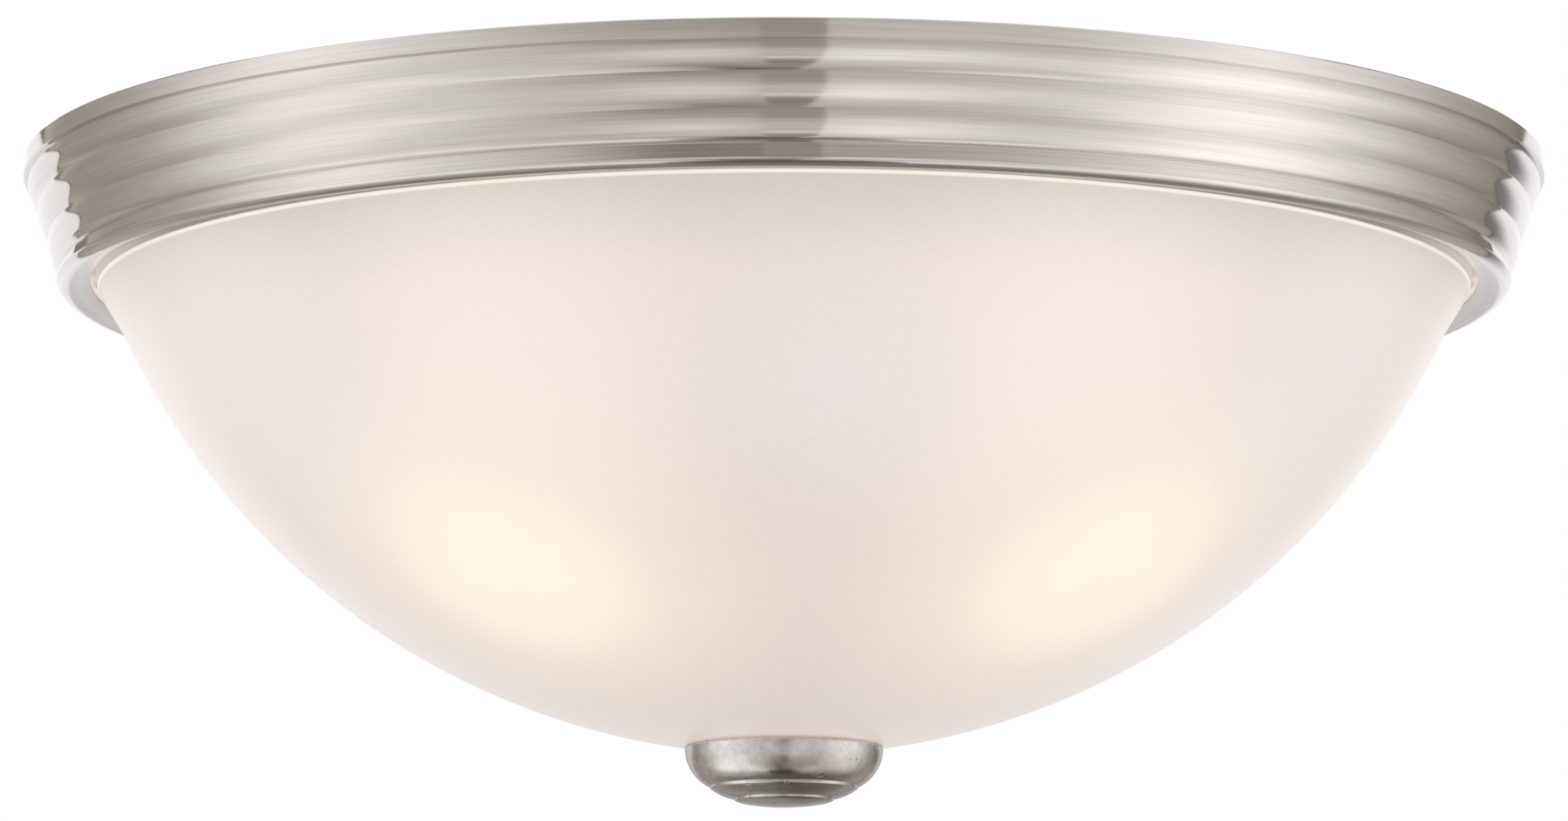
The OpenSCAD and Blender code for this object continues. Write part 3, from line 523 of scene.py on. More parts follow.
def brushed_nickel():
    s = Shader("brushed_nickel")
    fine = s.noise(1.0, 3.0, 0.7, s.ring_place(40, 3400))
    broad = s.noise(1.0, 2.0, 0.6, s.ring_place(9, 800))
    cloud = s.noise(14.0, 3.0)
    streak = s.mix(0.4, fine, broad)
    tone = s.mix(s.span(streak, 0, 1, 0.36, 0.64), colour(201, 194, 186), colour(222, 216, 209))
    outward = s.node("VectorMath", {0: s.facing, 1: s.place}, operation="DOT_PRODUCT").outputs["Value"]
    faces_in = s.math("LESS_THAN", outward, INWARD_LIMIT)
    over_lip = s.math("GREATER_THAN", s.parts()[2], (LIP_LOW_Z + LIP_ROUND) * MM)
    s.set(base_color=s.mix(s.span(cloud, 0, 0.4, 0.35, 0.7), tone, colour(212, 205, 195)),
          metallic=1.0, roughness=s.span(streak, 0.07, 0.12, 0.3, 0.7), anisotropic=1.0,
          anisotropic_rotation=0.25, emission_color=LIP_LIGHT,
          emission_strength=s.math("MULTIPLY", faces_in, over_lip),
          tangent=s.node("Tangent", direction_type="RADIAL", axis="Z").outputs[0])
    s.relief(s.bump(streak, 0.25, 0.02))
    return s.material


def cast_nickel():
    s = Shader("cast_nickel")
    pit = s.node("TexVoronoi", {"Vector": s.place, "Scale": 520.0}, feature="F1").outputs["Distance"]
    sparse = s.noise(170.0, 2.0)
    pits = s.math("MULTIPLY", s.span(pit, 1, 0, 0.1, 0.3, True), s.span(sparse, 0, 1, 0.5, 0.6))
    lumps = s.noise(620.0, 3.0, 0.6)
    swell = s.noise(150.0, 2.0)
    turned = s.noise(1.0, 2.0, 0.6, s.ring_place(60, 2600))
    tone = s.mix(s.span(lumps, 0, 1, 0.3, 0.7), colour(204, 199, 193), colour(226, 222, 216))
    # Painted dark reflection: the finial's colour is darkened round each of these spots
    for spot, reach, share in DARK_REFLECTION_SPOTS:
        tone = s.mix(s.share(s.near(spot, 1, reach), share), tone, colour(118, 106, 94))
    s.set(base_color=s.mix(s.share(pits, 0.3), tone, colour(110, 100, 92)), metallic=1.0,
          roughness=s.span(lumps, 0.14, 0.22, 0.3, 0.7), specular_tint=(0.6, 0.57, 0.53, 1))
    skin = s.bump(turned, 0.1, 0.03)
    skin = s.bump(swell, 0.3, 0.12, skin)
    skin = s.bump(lumps, 0.22, 0.06, skin)
    s.relief(s.bump(s.math("SUBTRACT", 1.0, pits), 0.6, 0.12, skin))
    return s.material


def frosted_glass():
    """Etched white glass; the light that comes through it is a soft field round the bulbs."""
    s = Shader("frosted_glass")
    grain = s.noise(1500.0, 2.0, 0.6)
    mottle = s.noise(26.0, 4.0, 0.55, distortion=0.4)
    across, _, height = s.parts()

    def above(z, past):
        """0 below a height and 1 when that far past it, in millimetres."""
        return s.span(height, 0, 1, z * MM, (z + past) * MM, True)

    glow = s.mix(s.span(mottle, 0, 0.3, 0.35, 0.7), FIELD_GLOW, MOTTLE_GLOW)
    under_rim = s.span(height, 1, 0, (COLLAR_Z - 2) * MM, (COLLAR_Z - 20) * MM, True)
    glow = s.mix(under_rim, glow, RIM_GLOW)
    glow = s.mix(s.share(s.near(LOW_SPOT, 12, 48), 0.8), glow, LOW_GLOW)
    glow = s.mix(s.share(s.near_either(WARM_SPOTS, 6, 56), 0.9), glow, WARM_GLOW)
    for spot, reach in COOL_SPOTS:
        glow = s.mix(s.share(s.near(spot, 2, reach), 0.85), glow, COOL_GLOW)
    glow = s.mix(s.near_either(HOT_SPOTS, 14, 66), glow, HOT_GLOW)
    glow = s.mix(s.near_either(HOT_SPOTS, 10, 36), glow, CORE_GLOW)
    glow = s.mix(above(COLLAR_Z - 0.7, 0.4), glow, EDGE_GLOW)
    sideways = s.span(s.math("ABSOLUTE", across), 0, 1, 122 * MM, 145 * MM, True)
    collar_glow = s.mix(sideways, COLLAR_GLOW, SIDE_COLLAR_GLOW)
    glow = s.mix(above(COLLAR_Z + 0.1, 0.3), glow, collar_glow)
    glow = s.mix(above(RIM_Z - 3.2, 0.8), glow, INSIDE_GLOW)
    turned = s.node("LayerWeight", {"Blend": 0.2}).outputs["Facing"]
    glow = s.mix(s.span(turned, 0, 0.6, 0.2, 0.9), glow, GRAZING_GLOW)
    etched = s.span(grain, 0, 1, 0.3, 0.7)
    s.set(base_color=s.mix(etched, colour(184, 181, 177), colour(190, 187, 183)),
          roughness=s.span(grain, 0.3, 0.38, 0.3, 0.7), emission_color=glow, emission_strength=1.0,
          specular_ior_level=0.3)
    s.relief(s.bump(grain, 0.08, 0.05))
    return s.material


def lit_bulb_glass():
    """White glass over a filament: the globe glows and the neck is dimmer."""
    s = Shader("bulb_white_glass")
    powder = s.noise(900.0, 2.0)
    globe = s.span(s.parts()[2], 0.25, 1.0, 45 * MM, 85 * MM, True)
    s.set(base_color=s.mix(powder, colour(236, 230, 218), colour(244, 238, 228)), roughness=0.22,
          emission_color=s.mix(globe, colour(120, 96, 66), colour(255, 226, 180)),
          emission_strength=1.1, coat_weight=0.4, coat_roughness=0.06)
    s.relief(s.bump(powder, 0.05, 0.04))
    return s.material


def insulation_fibre():
    """Two crossed layers of glass strands in tufts."""
    s = Shader("insulation_fibre")
    strands = s.noise(1.0, 5.0, 0.65, s.scaled(90, 900, 500), distortion=1.2)
    crossed = s.noise(1.0, 5.0, 0.65, s.scaled(760, 110, 520), distortion=1.4)
    tufts = s.noise(60.0, 4.0)
    mat = s.math("MAXIMUM", strands, crossed)
    tone = s.mix(s.span(mat, 0, 1, 0.42, 0.72), colour(196, 158, 76), colour(244, 222, 150))
    s.set(base_color=s.mix(s.span(tufts, 0, 0.6, 0.35, 0.7), tone, colour(226, 190, 104)),
          roughness=0.95, sheen_weight=0.25, sheen_roughness=0.5)
    s.relief(s.bump(mat, 0.9, 0.6, s.bump(tufts, 0.6, 1.5)))
    return s.material


def enamel(name, tone, shade, roughness, grain=240.0, relief=0.06):
    """Paint or glaze over metal or clay: a faint orange peel and an uneven gloss."""
    s = Shader(name)
    peel = s.noise(grain, 2.0)
    stain = s.noise(30.0, 3.0)
    s.set(base_color=s.mix(s.span(stain, 0, 1, 0.3, 0.75), tone, shade),
          roughness=s.span(stain, roughness * 0.8, roughness * 1.3, 0.3, 0.7), coat_weight=0.3,
          coat_roughness=0.1)
    s.relief(s.bump(peel, relief, 0.1))
    return s.material


def plated(name, tone, shade, roughness, grain=500.0):
    """Plated or bright metal, with a crystalline mottle and fine scratches."""
    s = Shader(name)
    spangle = s.node("TexVoronoi", {"Vector": s.place, "Scale": grain}, feature="F1").outputs["Color"]
    cloud = s.noise(90.0, 3.0)
    scratch = s.noise(1.0, 2.0, 0.7, s.scaled(160, 2400, 2400))
    patch = s.mix(0.6, spangle, cloud)
    s.set(base_color=s.mix(s.span(patch, 0, 1, 0.25, 0.75), tone, shade), metallic=1.0,
          roughness=s.span(cloud, roughness * 0.75, roughness * 1.3, 0.3, 0.7))
    s.relief(s.bump(scratch, 0.12, 0.04))
    return s.material


def moulded(name, tone, shade, roughness, grain=700.0, relief=0.12):
    """Rubber or plastic from a mould, with a fine grain and a little dust."""
    s = Shader(name)
    skin = s.noise(grain, 3.0)
    dust = s.noise(70.0, 4.0)
    s.set(base_color=s.mix(s.span(dust, 0, 0.7, 0.4, 0.75), tone, shade),
          roughness=s.span(skin, roughness * 0.85, min(1, roughness * 1.2), 0.3, 0.7))
    s.relief(s.bump(skin, relief, 0.06))
    return s.material


def clear_glass():
    s = Shader("clear_glass")
    wave = s.noise(120.0, 2.0)
    s.set(base_color=s.mix(wave, colour(232, 240, 238), colour(244, 248, 246)), roughness=0.04,
          transmission_weight=0.9, ior=1.5)
    s.relief(s.bump(wave, 0.08, 0.1))
    return s.material


# Materials of a general finish: which finish, the name, two tones and the roughness, then the
# grain and the relief where they aren't the finish's own
FINISHES = [
    (enamel, "white_paint", (240, 240, 236), (228, 227, 221), 0.3),
    (enamel, "porcelain", (242, 239, 230), (228, 223, 210), 0.16, 120.0, 0.03),
    (enamel, "dark_glass", (20, 20, 26), (34, 32, 38), 0.1, 300.0, 0.04),
    (plated, "green_screw", (48, 128, 70), (30, 96, 52), 0.34),
    (plated, "zinc_steel", (196, 196, 196), (168, 170, 174), 0.32),
    (plated, "brass", (222, 190, 116), (196, 156, 84), 0.26, 300.0),
    (plated, "bulb_cap_metal", (214, 210, 202), (188, 184, 176), 0.24, 260.0),
    (plated, "tungsten", (150, 148, 148), (120, 118, 116), 0.4, 900.0),
    (moulded, "green_insulation", (38, 120, 56), (60, 140, 76), 0.42),
    (moulded, "black_insulation", (20, 20, 21), (46, 45, 44), 0.45),
    (moulded, "white_insulation", (232, 231, 224), (212, 208, 196), 0.42),
    (moulded, "black_nylon", (22, 22, 23), (52, 50, 48), 0.4, 500.0),
    (moulded, "orange_plastic", (226, 104, 28), (206, 88, 24), 0.38, 500.0),
    (moulded, "black_rubber", (26, 26, 27), (62, 60, 58), 0.75, 900.0, 0.2),
]
materials = {
    "brushed_nickel": brushed_nickel(),
    "cast_nickel": cast_nickel(),
    "frosted_glass": frosted_glass(),
    "bulb_white_glass": lit_bulb_glass(),
    "insulation_fibre": insulation_fibre(),
    "clear_glass": clear_glass(),
}
for finish, finish_name, tone_1, tone_2, *feel in FINISHES:
    materials[finish_name] = finish(finish_name, colour(*tone_1), colour(*tone_2), *feel)


def dress(piece, body, slot, material=None):
    """Gives a new piece the material of its slot, or the one named, puts it on its body and hides the
    node that it stands for.
    """
    piece.data.materials.clear()
    piece.data.materials.append(materials[material or slot])
    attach(piece, body)
    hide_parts(piece.name.removesuffix("_look"))


# The pieces

def groove(i):
    """The groove over a bead, counted from the upper bead, as a point of the outline."""
    return (FIRST_GROOVE_R - i * BEAD_STEP, -BAND_H - (UPPER_BEAD_H + (i - 1) * BEAD_H if i else 0))


def bead(i):
    """The arc of a bead, without its first point."""
    return arc(groove(i), groove(i + 1), BEAD_CROWN)[1:]


def make_pan():
    last_r, last_z = groove(BEAD_COUNT + 1)
    roll = (last_r + ROLL_FLARE, last_z - ROLL_FLAT)
    beads = [bead(i) for i in range(BEAD_COUNT + 1)]
    outer = [(RING_R, -FACE_BEVEL), (RING_R, -BAND_FLAT, BAND_TURN), groove(0)]
    inner = [(FIRST_GROOVE_R - STEEP_SHIFT, groove(0)[1])]
    for points in beads:
        outer += points if points is not beads[-1] else points[:TUCK_STEP - 1]
        inner += [(r - STEEP_SHIFT, z) for r, z in points]
    outer += [(last_r - TUCK_IN, last_z + TUCK_UP, TUCK_ROUND), (*roll, ROLL_TURN)]
    outer += arc(roll, (LOW_R, -PAN_H), ROLL_CROWN)[ROLL_STEP:-1]
    inner += [(roll[0] - STEEP_SHIFT, roll[1]), (LOW_R - SHEET_T / 2, -PAN_H + SHEET_T)]
    lip_in, slope_r = LIP_R + SHEET_T, RECESS_R + SLOPE_W
    outline = rounded([
        (WASHER_HOLE_R, -RECESS_D), (RECESS_R, -RECESS_D, RECESS_ROUND), (slope_r, 0, SLOPE_ROUND),
        (RING_R - FACE_BEVEL, 0), *outer,
        (LOW_R, -PAN_H, FLANGE_ROUND), (LIP_R, LIP_LOW_Z, LIP_ROUND), (LIP_R, CURL_Z, CURL_ROUND),
        (lip_in, CURL_Z, CURL_ROUND), (lip_in, LIP_LOW_Z + SHEET_T, CURL_ROUND), *reversed(inner),
        (RING_R - BAND_IN - SHEET_T, -SHEET_T, INNER_ROUND),
        (slope_r + SLOPE_SHIFT, -SHEET_T, INNER_ROUND),
        (RECESS_R + SLOPE_SHIFT, PLATE_LOW_Z, INNER_RECESS_ROUND), (WASHER_HOLE_R, PLATE_LOW_Z),
    ])
    pan = lathe("pan_look", outline, PAN_SIDES)
    holes = [(0, BUSHING_Y, BUSHING_HOLE_R)]
    for k in range(SCREW_COUNT):
        a = 2 * math.pi * (k + 0.5) / SCREW_COUNT
        holes.append((SCREW_RING_R * math.cos(a), SCREW_RING_R * math.sin(a), SCREW_HOLE_R))
    cut_holes(pan, holes, PLATE_LOW_Z - DRILL_PAST, -RECESS_D + DRILL_PAST)
    dress(pan, "fixture", "brushed_nickel")


def make_bowl():
    inner_r = BOWL_R - GLASS_T
    inner_rim = math.sqrt(inner_r**2 - (BOWL_MID_Z - RIM_Z) ** 2)
    hole_edge_r = GLASS_HOLE_R + HOLE_BEVEL
    outline = rounded([
        *sphere_arc(BOWL_R, BOWL_MID_Z, hole_edge_r, FLARE_R, DOME_STEPS),
        (COLLAR_R, COLLAR_Z, COLLAR_ROUND), (RIM_R, RIM_Z, RIM_ROUND), (inner_rim, RIM_Z, RIM_ROUND),
        *sphere_arc(inner_r, BOWL_MID_Z, inner_rim - RIM_EASE, hole_edge_r, DOME_STEPS),
        (GLASS_HOLE_R, BOWL_LOW_Z + GLASS_T + HOLE_RISE, HOLE_BEVEL),
        (GLASS_HOLE_R, BOWL_LOW_Z + HOLE_BEVEL, HOLE_BEVEL),
    ])
    dress(lathe("glass_bowl_look", outline, BOWL_SIDES), "bowl", "frosted_glass")


def make_finial():
    step_1_z, step_2_z = FINIAL_LOW_Z + STEP_1_H, FINIAL_LOW_Z + STEP_2_H
    dome_h = STEP_2_H - SHOULDER_H
    dome_r = (STEP_2_R**2 + dome_h**2) / (2 * dome_h)
    tier_r, dome_edge_r = STEP_1_R - STEP_IN, STEP_2_R - STEP_IN
    tier = (tier_r, step_1_z - SHOULDER_H)
    dome = list(reversed(sphere_arc(dome_r, FINIAL_LOW_Z + dome_r, 0, dome_edge_r)))
    bore_low = FINIAL_LOW_Z + FINIAL_FLOOR
    cup_r, cup_low_z = FINIAL_R - FINIAL_T, step_1_z + FINIAL_T
    outline = rounded([
        (cup_r, FINIAL_TOP_Z, 0.3), (FINIAL_R - 0.1, FINIAL_TOP_Z, 0.35),
        *arc((FINIAL_R, FINIAL_TOP_Z - 0.5), (STEP_1_R, step_1_z), CUP_CROWN, CUP_STEPS),
        (tier_r, step_1_z + 0.1, STEP_ROUND), (*tier, SHOULDER_ROUND),
        *arc(tier, (STEP_2_R, step_2_z), STEP_CROWN)[4:],
        (dome_edge_r, step_2_z + 0.08, STEP_ROUND),
        (dome_edge_r, step_2_z - SHOULDER_H + 0.1, SHOULDER_ROUND), *dome[2:],
        (0, bore_low), (FINIAL_BORE_R, bore_low), (FINIAL_BORE_R, BOSS_TOP_Z, BOSS_ROUND),
        (BOSS_R, BOSS_TOP_Z, BOSS_ROUND), (BOSS_R, bore_low + 1.2, FILLET),
        (BOSS_R + 2, bore_low, FILLET), (STEP_1_R - FINIAL_T, cup_low_z, 1),
        (cup_r - 1.2, cup_low_z + 3, 1),
    ])
    finial = lathe("finial_look", outline, FINIAL_SIDES, sharp=28)
    dress(finial, "finial", "brushed_nickel", "cast_nickel")


def lamp_matrix(side):
    place = Matrix.Translation((side * LAMP_X * MM, LAMP_Y * MM, -LAMP_Z * MM))
    return place @ Matrix.Rotation(math.radians(90 + LAMP_TILT), 4, "X")


def bulb_side(inset):
    """The side of a bulb's glass: the straight part in the cap, the neck and the globe."""
    tip_s = HOLDER_FLOOR + CONTACT_RISE + SEAT_GAP
    cap_top = tip_s + TIP_H + INSULATOR_H + CAP_H
    globe_s = tip_s + BULB_L - GLOBE_R
    join = math.radians(JOIN_ANGLE)
    join_s, neck_s = globe_s - GLOBE_R * math.cos(join), cap_top + NECK_RISE
    low_r = CAP_R - 2 * THREAD_WAVE - CAP_T - BULB_GLASS_GAP
    points = [(low_r - inset, cap_top - BULB_GLASS_IN_CAP), (low_r - inset, cap_top + CAP_EDGE)]
    slope = (join_s - neck_s) / math.tan(join)
    rise = GLOBE_R * math.sin(join) - NECK_R
    for i in range(NECK_STEPS + 1):
        t = i / NECK_STEPS
        r = NECK_R + rise * t * t * (3 - 2 * t) + slope * (t**3 - t * t)
        points.append((r - inset, neck_s + (join_s - neck_s) * t))
    for i in range(1, GLOBE_STEPS):
        a = join + (math.pi - join) * i / GLOBE_STEPS
        points.append(((GLOBE_R - inset) * math.sin(a), globe_s - (GLOBE_R - inset) * math.cos(a)))
    return [*points, (0, globe_s + GLOBE_R - inset)]


def make_bulb_glass(number, side):
    outline = bulb_side(0) + list(reversed(bulb_side(BULB_GLASS_T)))
    glass = lathe(f"bulb_glass_{number}_look", outline, BULB_SIDES, matrix=lamp_matrix(side))
    dress(glass, f"bulb_{number}", "bulb_white_glass")


def make_leads():
    for number, side in LAMP_SIDES:
        for tint, route in (("black", BLACK_ROUTE), ("white", WHITE_ROUTE)):
            lead = wire(f"{tint}_lead_{number}_look", route, side)
            dress(lead, "fixture", f"{tint}_insulation")
    dress(wire("ground_wire_look", GROUND_ROUTE), "fixture", "green_insulation")


def make_insulation():
    """A ring of glass-fibre mat with a lumpy top and rounded, ragged edges."""
    hole_r, outer_r, low, high = PAD_HOLE_R, RECESS_R - PAD_EDGE_GAP, -RECESS_D, -RECESS_D + PAD_T
    foot_z, side_z, edge_z, top_z = low + 1.2, high - 2.4, high - 1.2, high - 0.9
    across = [outer_r + (hole_r - outer_r) * i / PAD_RINGS for i in range(PAD_RINGS + 1)]
    pad = lathe("insulation_pad_look", [
        (hole_r + 1, low), (outer_r - 1, low),
        (outer_r - 0.4, foot_z), (outer_r - 0.5, side_z), (outer_r - 1.6, edge_z),
        *((r, top_z) for r in across[2:-2]),
        (hole_r + 1.6, edge_z), (hole_r + 0.5, side_z), (hole_r + 0.4, foot_z),
    ], PAD_SIDES, sharp=80)
    for v in pad.data.vertices:
        depth = (v.co.z / MM - low) / PAD_T
        if depth <= 0.1:
            continue
        lump = sum(noise.noise(v.co * scale) * share for scale, share in LUMP_LAYERS)
        out = Vector((v.co.x, v.co.y, 0)).normalized()
        r = math.hypot(v.co.x, v.co.y) / MM
        sideways = lump
        if r <= hole_r + PAD_EDGE_W:
            sideways = abs(lump) * EDGE_LUMP
        elif r >= outer_r - PAD_EDGE_W:
            sideways = -abs(lump) * EDGE_LUMP
        v.co.z = min(v.co.z + lump * depth * LUMP_RISE * MM, (high - 0.02) * MM)
        v.co += out * sideways * LUMP_OUT * MM
    dress(pad, "fixture", "insulation_fibre")


def dress_cad_nodes():
    """The CAD nodes that keep their own shape get their slot's material."""
    for part in frame["record"]["subparts"]:
        node = frame["nodes"][part["node"]]
        if node.hide_render:
            continue
        slot = part["material_slot"]
        node.data.materials.clear()
        node.data.materials.append(materials[slot])


make_pan()
make_bowl()
make_finial()
for bulb_number, bulb_place in LAMP_SIDES:
    make_bulb_glass(bulb_number, bulb_place)
make_leads()
make_insulation()
dress_cad_nodes()


# The studio, in metres and degrees

CAMERA_PLACE = (0, -1.4, -0.2671)
CAMERA_RISE = 8.745
LENS = 149.7
FLOOR_HALF = 30
FLOOR_Z = -5
LIGHT_MIDDLE = Vector((0, 0, -0.06))
SOFTBOX_DISTANCE = 2.4
SOFTBOX_W = 1.3
SOFTBOX_H = 1.7
WORLD_TINT = (0.98, 0.99, 1.0, 1)
WORLD_LEVEL = 0.72

# The panels that the metal mirrors: their distance, how far up and down they reach, and the
# azimuths where they meet
PANEL_DISTANCE = 2.2
PANEL_LOW = -80
PANEL_HIGH = 45
LEFT_END = -142
SLOT_LEFT = -3.3
SLOT_RIGHT = 5.9
RIGHT_END = 138

# A panel's light turns from one tint to the other between two levels
DIM_TINT = (1.04, 1.0, 0.9, 1)
BRIGHT_TINT = (1.0, 1.0, 1.03, 1)
DIM_LEVEL = 0.3
BRIGHT_LEVEL = 0.9

# Levels of the panels where no glow adds to them
SIDE_LEVEL = 0.38
SLOT_LEVEL = 0.4
BEHIND_LEVEL = 0.25
BELOW_LEVEL = 0.14

# Soft patches on the panels: azimuth, width, elevation, height and how much light each adds.
# ANY is the height of one that is even all the way up.
ANY = 400
LEFT_GLOWS = [
    (-76, 27, 0, ANY, 0.78), (-40, 20, 0, ANY, 0.25), (-12, 17, -24, 28, 0.47),
    (-14, 16, -88, 16, -0.22), (-19, 9, -68, 14, -0.16), (-19, 9, 26, 12, -0.1),
    (-10, 26, 42, 12, -0.2), (-143, 6, 0, ANY, 0.15), (-108, 17, -47, 13, 0.7),
    (-70, 18, -24, 14, -0.12), (-64, 16, 18, 14, 0.1), (-62, 12, -58, 9, -0.2),
]
SLOT_GLOWS = [
    (1, 90, -20, 16, 0.3), (1, 90, -36.5, 3, 0.6), (1, 90, -52, 8, -0.1), (1, 90, -88, 16, -0.15),
    (1, 90, 42, 12, -0.08),
]
RIGHT_GLOWS = [
    (15, 30, 0, ANY, 0.2), (15, 24, -26, 30, 0.5), (75, 32, 0, ANY, 0.76), (73, 30, -20, 30, 0.35),
    (12, 9, -36, 3, 0.3), (10, 26, 42, 12, -0.2), (140, 12, 0, ANY, -0.1), (106, 15, -44, 12, 0.5),
    (60, 14, -56, 9, -0.25), (84, 12, 12, 14, -0.12),
]
BEHIND_GLOWS = [(180, 60, -24, 14, 0.3)]

# Where the backdrop is dimmer: round a place low in the middle, and towards its lower right. The
# places are shares of its distance, and the levels are shares of its light.
DIP_Z = -0.2
DIP_FROM = 0.1
DIP_TO = 0.45
DIP_LEVEL = 0.66
FADE_FROM = 0.6
FADE_TO = 1.05
FADE_LEVEL = 0.24
BACKDROP_SIDES = 96


def camera():
    data = bpy.data.cameras.new("camera")
    data.lens = LENS
    data.sensor_width = 36
    data.clip_end = 50
    view = add_object("camera", data)
    view.location = CAMERA_PLACE
    view.rotation_euler = (math.radians(90 + CAMERA_RISE), 0, 0)
    bpy.context.scene.camera = view


def around(azimuth, elevation, distance):
    """A point round the light: azimuth 0 is in front, towards the camera, and 90 is to the right."""
    a, e = math.radians(azimuth), math.radians(elevation)
    way = Vector((math.sin(a) * math.cos(e), -math.cos(a) * math.cos(e), math.sin(e)))
    return LIGHT_MIDDLE + way * distance


def softbox(name, azimuth, elevation, level):
    """A soft lamp that faces the light; level is how bright its face looks."""
    data = bpy.data.lights.new(name, "AREA")
    data.shape = "RECTANGLE"
    data.size, data.size_y = SOFTBOX_W, SOFTBOX_H
    data.energy = level * math.pi * SOFTBOX_W * SOFTBOX_H
    lamp = add_object(name, data)
    lamp.location = around(azimuth, elevation, SOFTBOX_DISTANCE)
    lamp.rotation_euler = (LIGHT_MIDDLE - lamp.location).to_track_quat("-Z", "Y").to_euler()
    lamp.visible_camera = lamp.visible_glossy = False


def gloss_only(name, mesh, shader, tint, strength):
    """Adds a glowing sheet of the studio that only shows in gloss."""
    shader.set(base_color=(0, 0, 0, 1), specular_ior_level=0.0, emission_color=tint,
               emission_strength=strength)
    mesh.materials.append(shader.material)
    piece = add_object(name, mesh)
    piece.visible_camera = piece.visible_diffuse = piece.visible_shadow = False
    piece.visible_transmission = piece.visible_volume_scatter = False


def panel(name, left, right, low, high, level, glows=()):
    """A curved studio panel between two azimuths and two elevations, with its glows."""
    columns, rows = max(2, round((right - left) / 2)), max(2, round(high - low))
    work = bmesh.new()
    layer = work.verts.layers.float.new("level")
    grid = []
    for i in range(columns + 1):
        azimuth = left + (right - left) * i / columns
        column = []
        for k in range(rows + 1):
            elevation = low + (high - low) * k / rows
            v = work.verts.new(around(azimuth, elevation, PANEL_DISTANCE))
            v[layer] = level + sum(
                added * math.exp(-(((azimuth - a) / width) ** 2) - ((elevation - e) / height) ** 2)
                for a, width, e, height, added in glows)
            column.append(v)
        grid.append(column)
    for near_side, far_side in zip(grid, grid[1:]):
        for k in range(rows):
            work.faces.new((near_side[k], far_side[k], far_side[k + 1], near_side[k + 1]))
    mesh = bpy.data.meshes.new(name)
    work.to_mesh(mesh)
    work.free()
    s = Shader(name)
    strength = s.node("Attribute", attribute_name="level").outputs["Fac"]
    tint = s.mix(s.span(strength, 0, 1, DIM_LEVEL, BRIGHT_LEVEL), DIM_TINT, BRIGHT_TINT)
    gloss_only(name, mesh, s, tint, strength)


def backdrop(name, left, right, low, high, distance, level, tint):
    """An oval sheet behind the light, square to the view. Its sizes are shares of its
    distance. It is dimmer low in the middle and towards its lower right."""
    outline = []
    for k in range(BACKDROP_SIDES):
        a = 2 * math.pi * k / BACKDROP_SIDES
        x = (left + right) / 2 + (right - left) / 2 * math.cos(a)
        z = (low + high) / 2 + (high - low) / 2 * math.sin(a)
        outline.append((x * distance, distance, z * distance))
    mesh = bpy.data.meshes.new(name)
    mesh.from_pydata(outline, [], [range(BACKDROP_SIDES)])
    s = Shader(name)
    x, _, z = s.parts()
    away = s.away((0, distance, DIP_Z * distance))
    dip = s.span(away, DIP_LEVEL, 1, DIP_FROM * distance, DIP_TO * distance, True)
    aside = s.math("SUBTRACT", x, z)
    fade = s.span(aside, 1, FADE_LEVEL, FADE_FROM * distance, FADE_TO * distance, True)
    gloss_only(name, mesh, s, tint, s.math("MULTIPLY", level, s.math("MULTIPLY", dip, fade)))


def floor():
    mesh = bpy.data.meshes.new("floor")
    corners = ((-1, -1), (1, -1), (1, 1), (-1, 1))
    mesh.from_pydata([(x * FLOOR_HALF, y * FLOOR_HALF, FLOOR_Z) for x, y in corners], [], [range(4)])
    piece = add_object("floor", mesh)
    s = Shader("floor_paint")
    s.set(base_color=s.mix(s.noise(1.5), colour(236, 235, 233), colour(240, 239, 237)), roughness=0.8)
    mesh.materials.append(s.material)


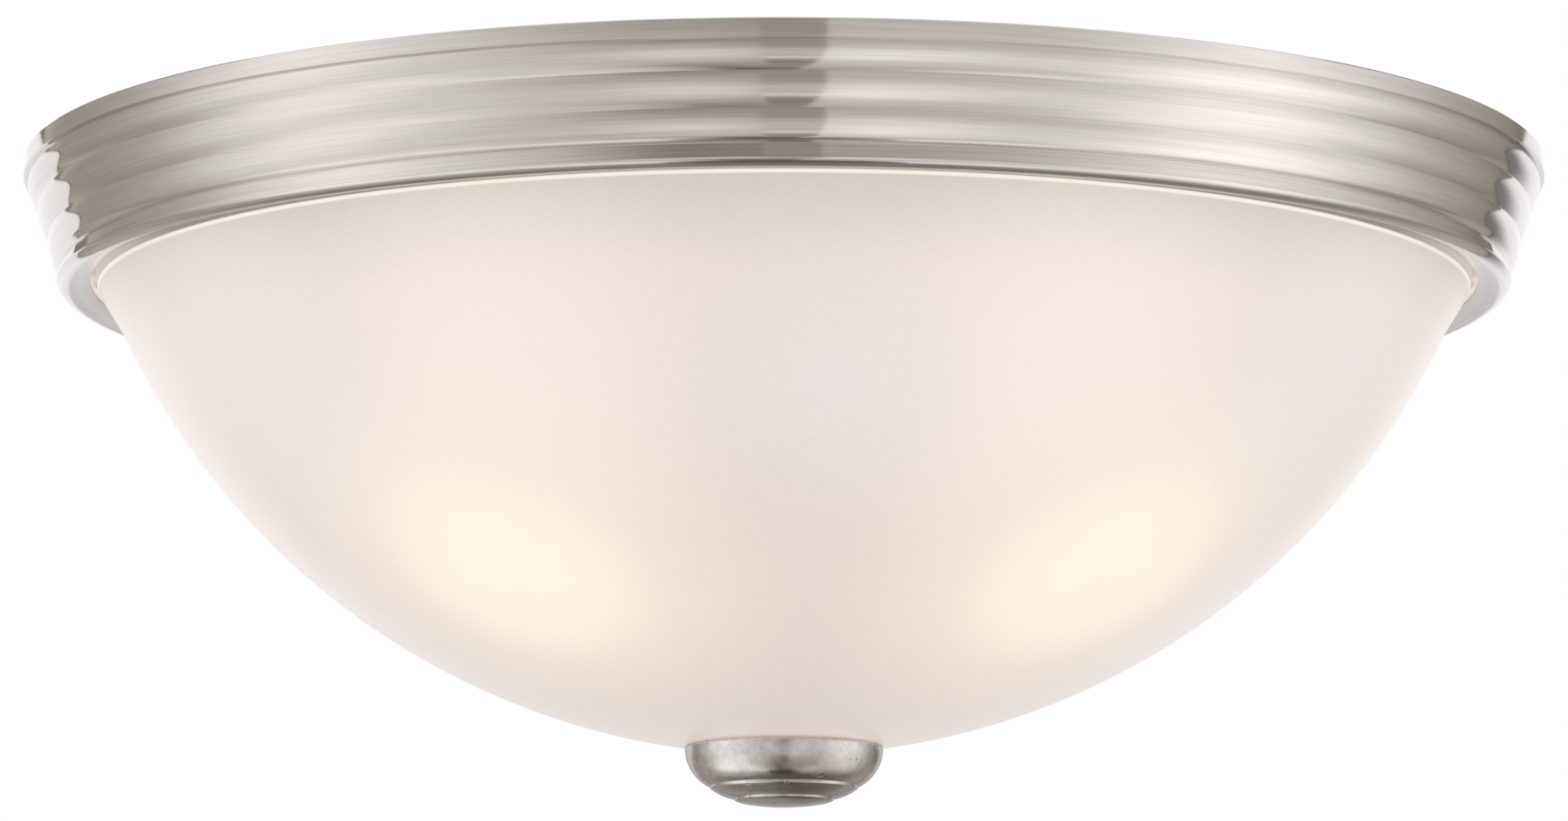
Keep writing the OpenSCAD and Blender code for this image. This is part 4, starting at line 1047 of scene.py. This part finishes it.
def world():
    """White where the camera, gloss or clear glass sees it, and a soft light for the rest."""
    made = bpy.data.worlds.new("studio")
    bpy.context.scene.world = made
    made.use_nodes = True
    nodes, links = made.node_tree.nodes, made.node_tree.links
    nodes.clear()
    out, mix = nodes.new("ShaderNodeOutputWorld"), nodes.new("ShaderNodeMixShader")
    seen, soft = nodes.new("ShaderNodeBackground"), nodes.new("ShaderNodeBackground")
    seen.inputs["Color"].default_value = (1, 1, 1, 1)
    seen.inputs["Strength"].default_value = 1.0
    soft.inputs["Color"].default_value = WORLD_TINT
    soft.inputs["Strength"].default_value = WORLD_LEVEL
    path = nodes.new("ShaderNodeLightPath")
    shown = path.outputs["Is Camera Ray"]
    for kind in ("Is Glossy Ray", "Is Transmission Ray"):
        either = nodes.new("ShaderNodeMath")
        either.operation = "MAXIMUM"
        links.new(shown, either.inputs[0])
        links.new(path.outputs[kind], either.inputs[1])
        shown = either.outputs[0]
    links.new(shown, mix.inputs[0])
    links.new(soft.outputs[0], mix.inputs[1])
    links.new(seen.outputs[0], mix.inputs[2])
    links.new(mix.outputs[0], out.inputs[0])


camera()
world()
floor()
softbox("softbox_left", azimuth=-72, elevation=4, level=1.15)
softbox("softbox_right", azimuth=70, elevation=4, level=1.3)

# What the metal mirrors: a soft glow from each side, a slot in front where the camera stands, dim
# light from behind and below, and a pale sheet behind with a thin warm border
panel("panel_left", LEFT_END, SLOT_LEFT, PANEL_LOW, PANEL_HIGH, SIDE_LEVEL, LEFT_GLOWS)
panel("panel_slot", SLOT_LEFT, SLOT_RIGHT, PANEL_LOW, PANEL_HIGH, SLOT_LEVEL, SLOT_GLOWS)
panel("panel_right", SLOT_RIGHT, RIGHT_END, PANEL_LOW, PANEL_HIGH, SIDE_LEVEL, RIGHT_GLOWS)
panel("panel_behind", RIGHT_END, LEFT_END + 360, PANEL_LOW, PANEL_HIGH, BEHIND_LEVEL, BEHIND_GLOWS)
panel("panel_below", -180, 180, -89.9, PANEL_LOW, BELOW_LEVEL)
backdrop("backdrop", left=-1.057, right=1.1, low=-0.4, high=0.34, distance=1.2, level=1.1,
         tint=(0.97, 0.965, 1.0, 1))
backdrop("backdrop_border", left=-1.075, right=1.11, low=-0.412, high=0.352, distance=1.215,
         level=0.12, tint=(1.0, 0.75, 0.5, 1))

bpy.context.scene.view_settings.view_transform = "Standard"
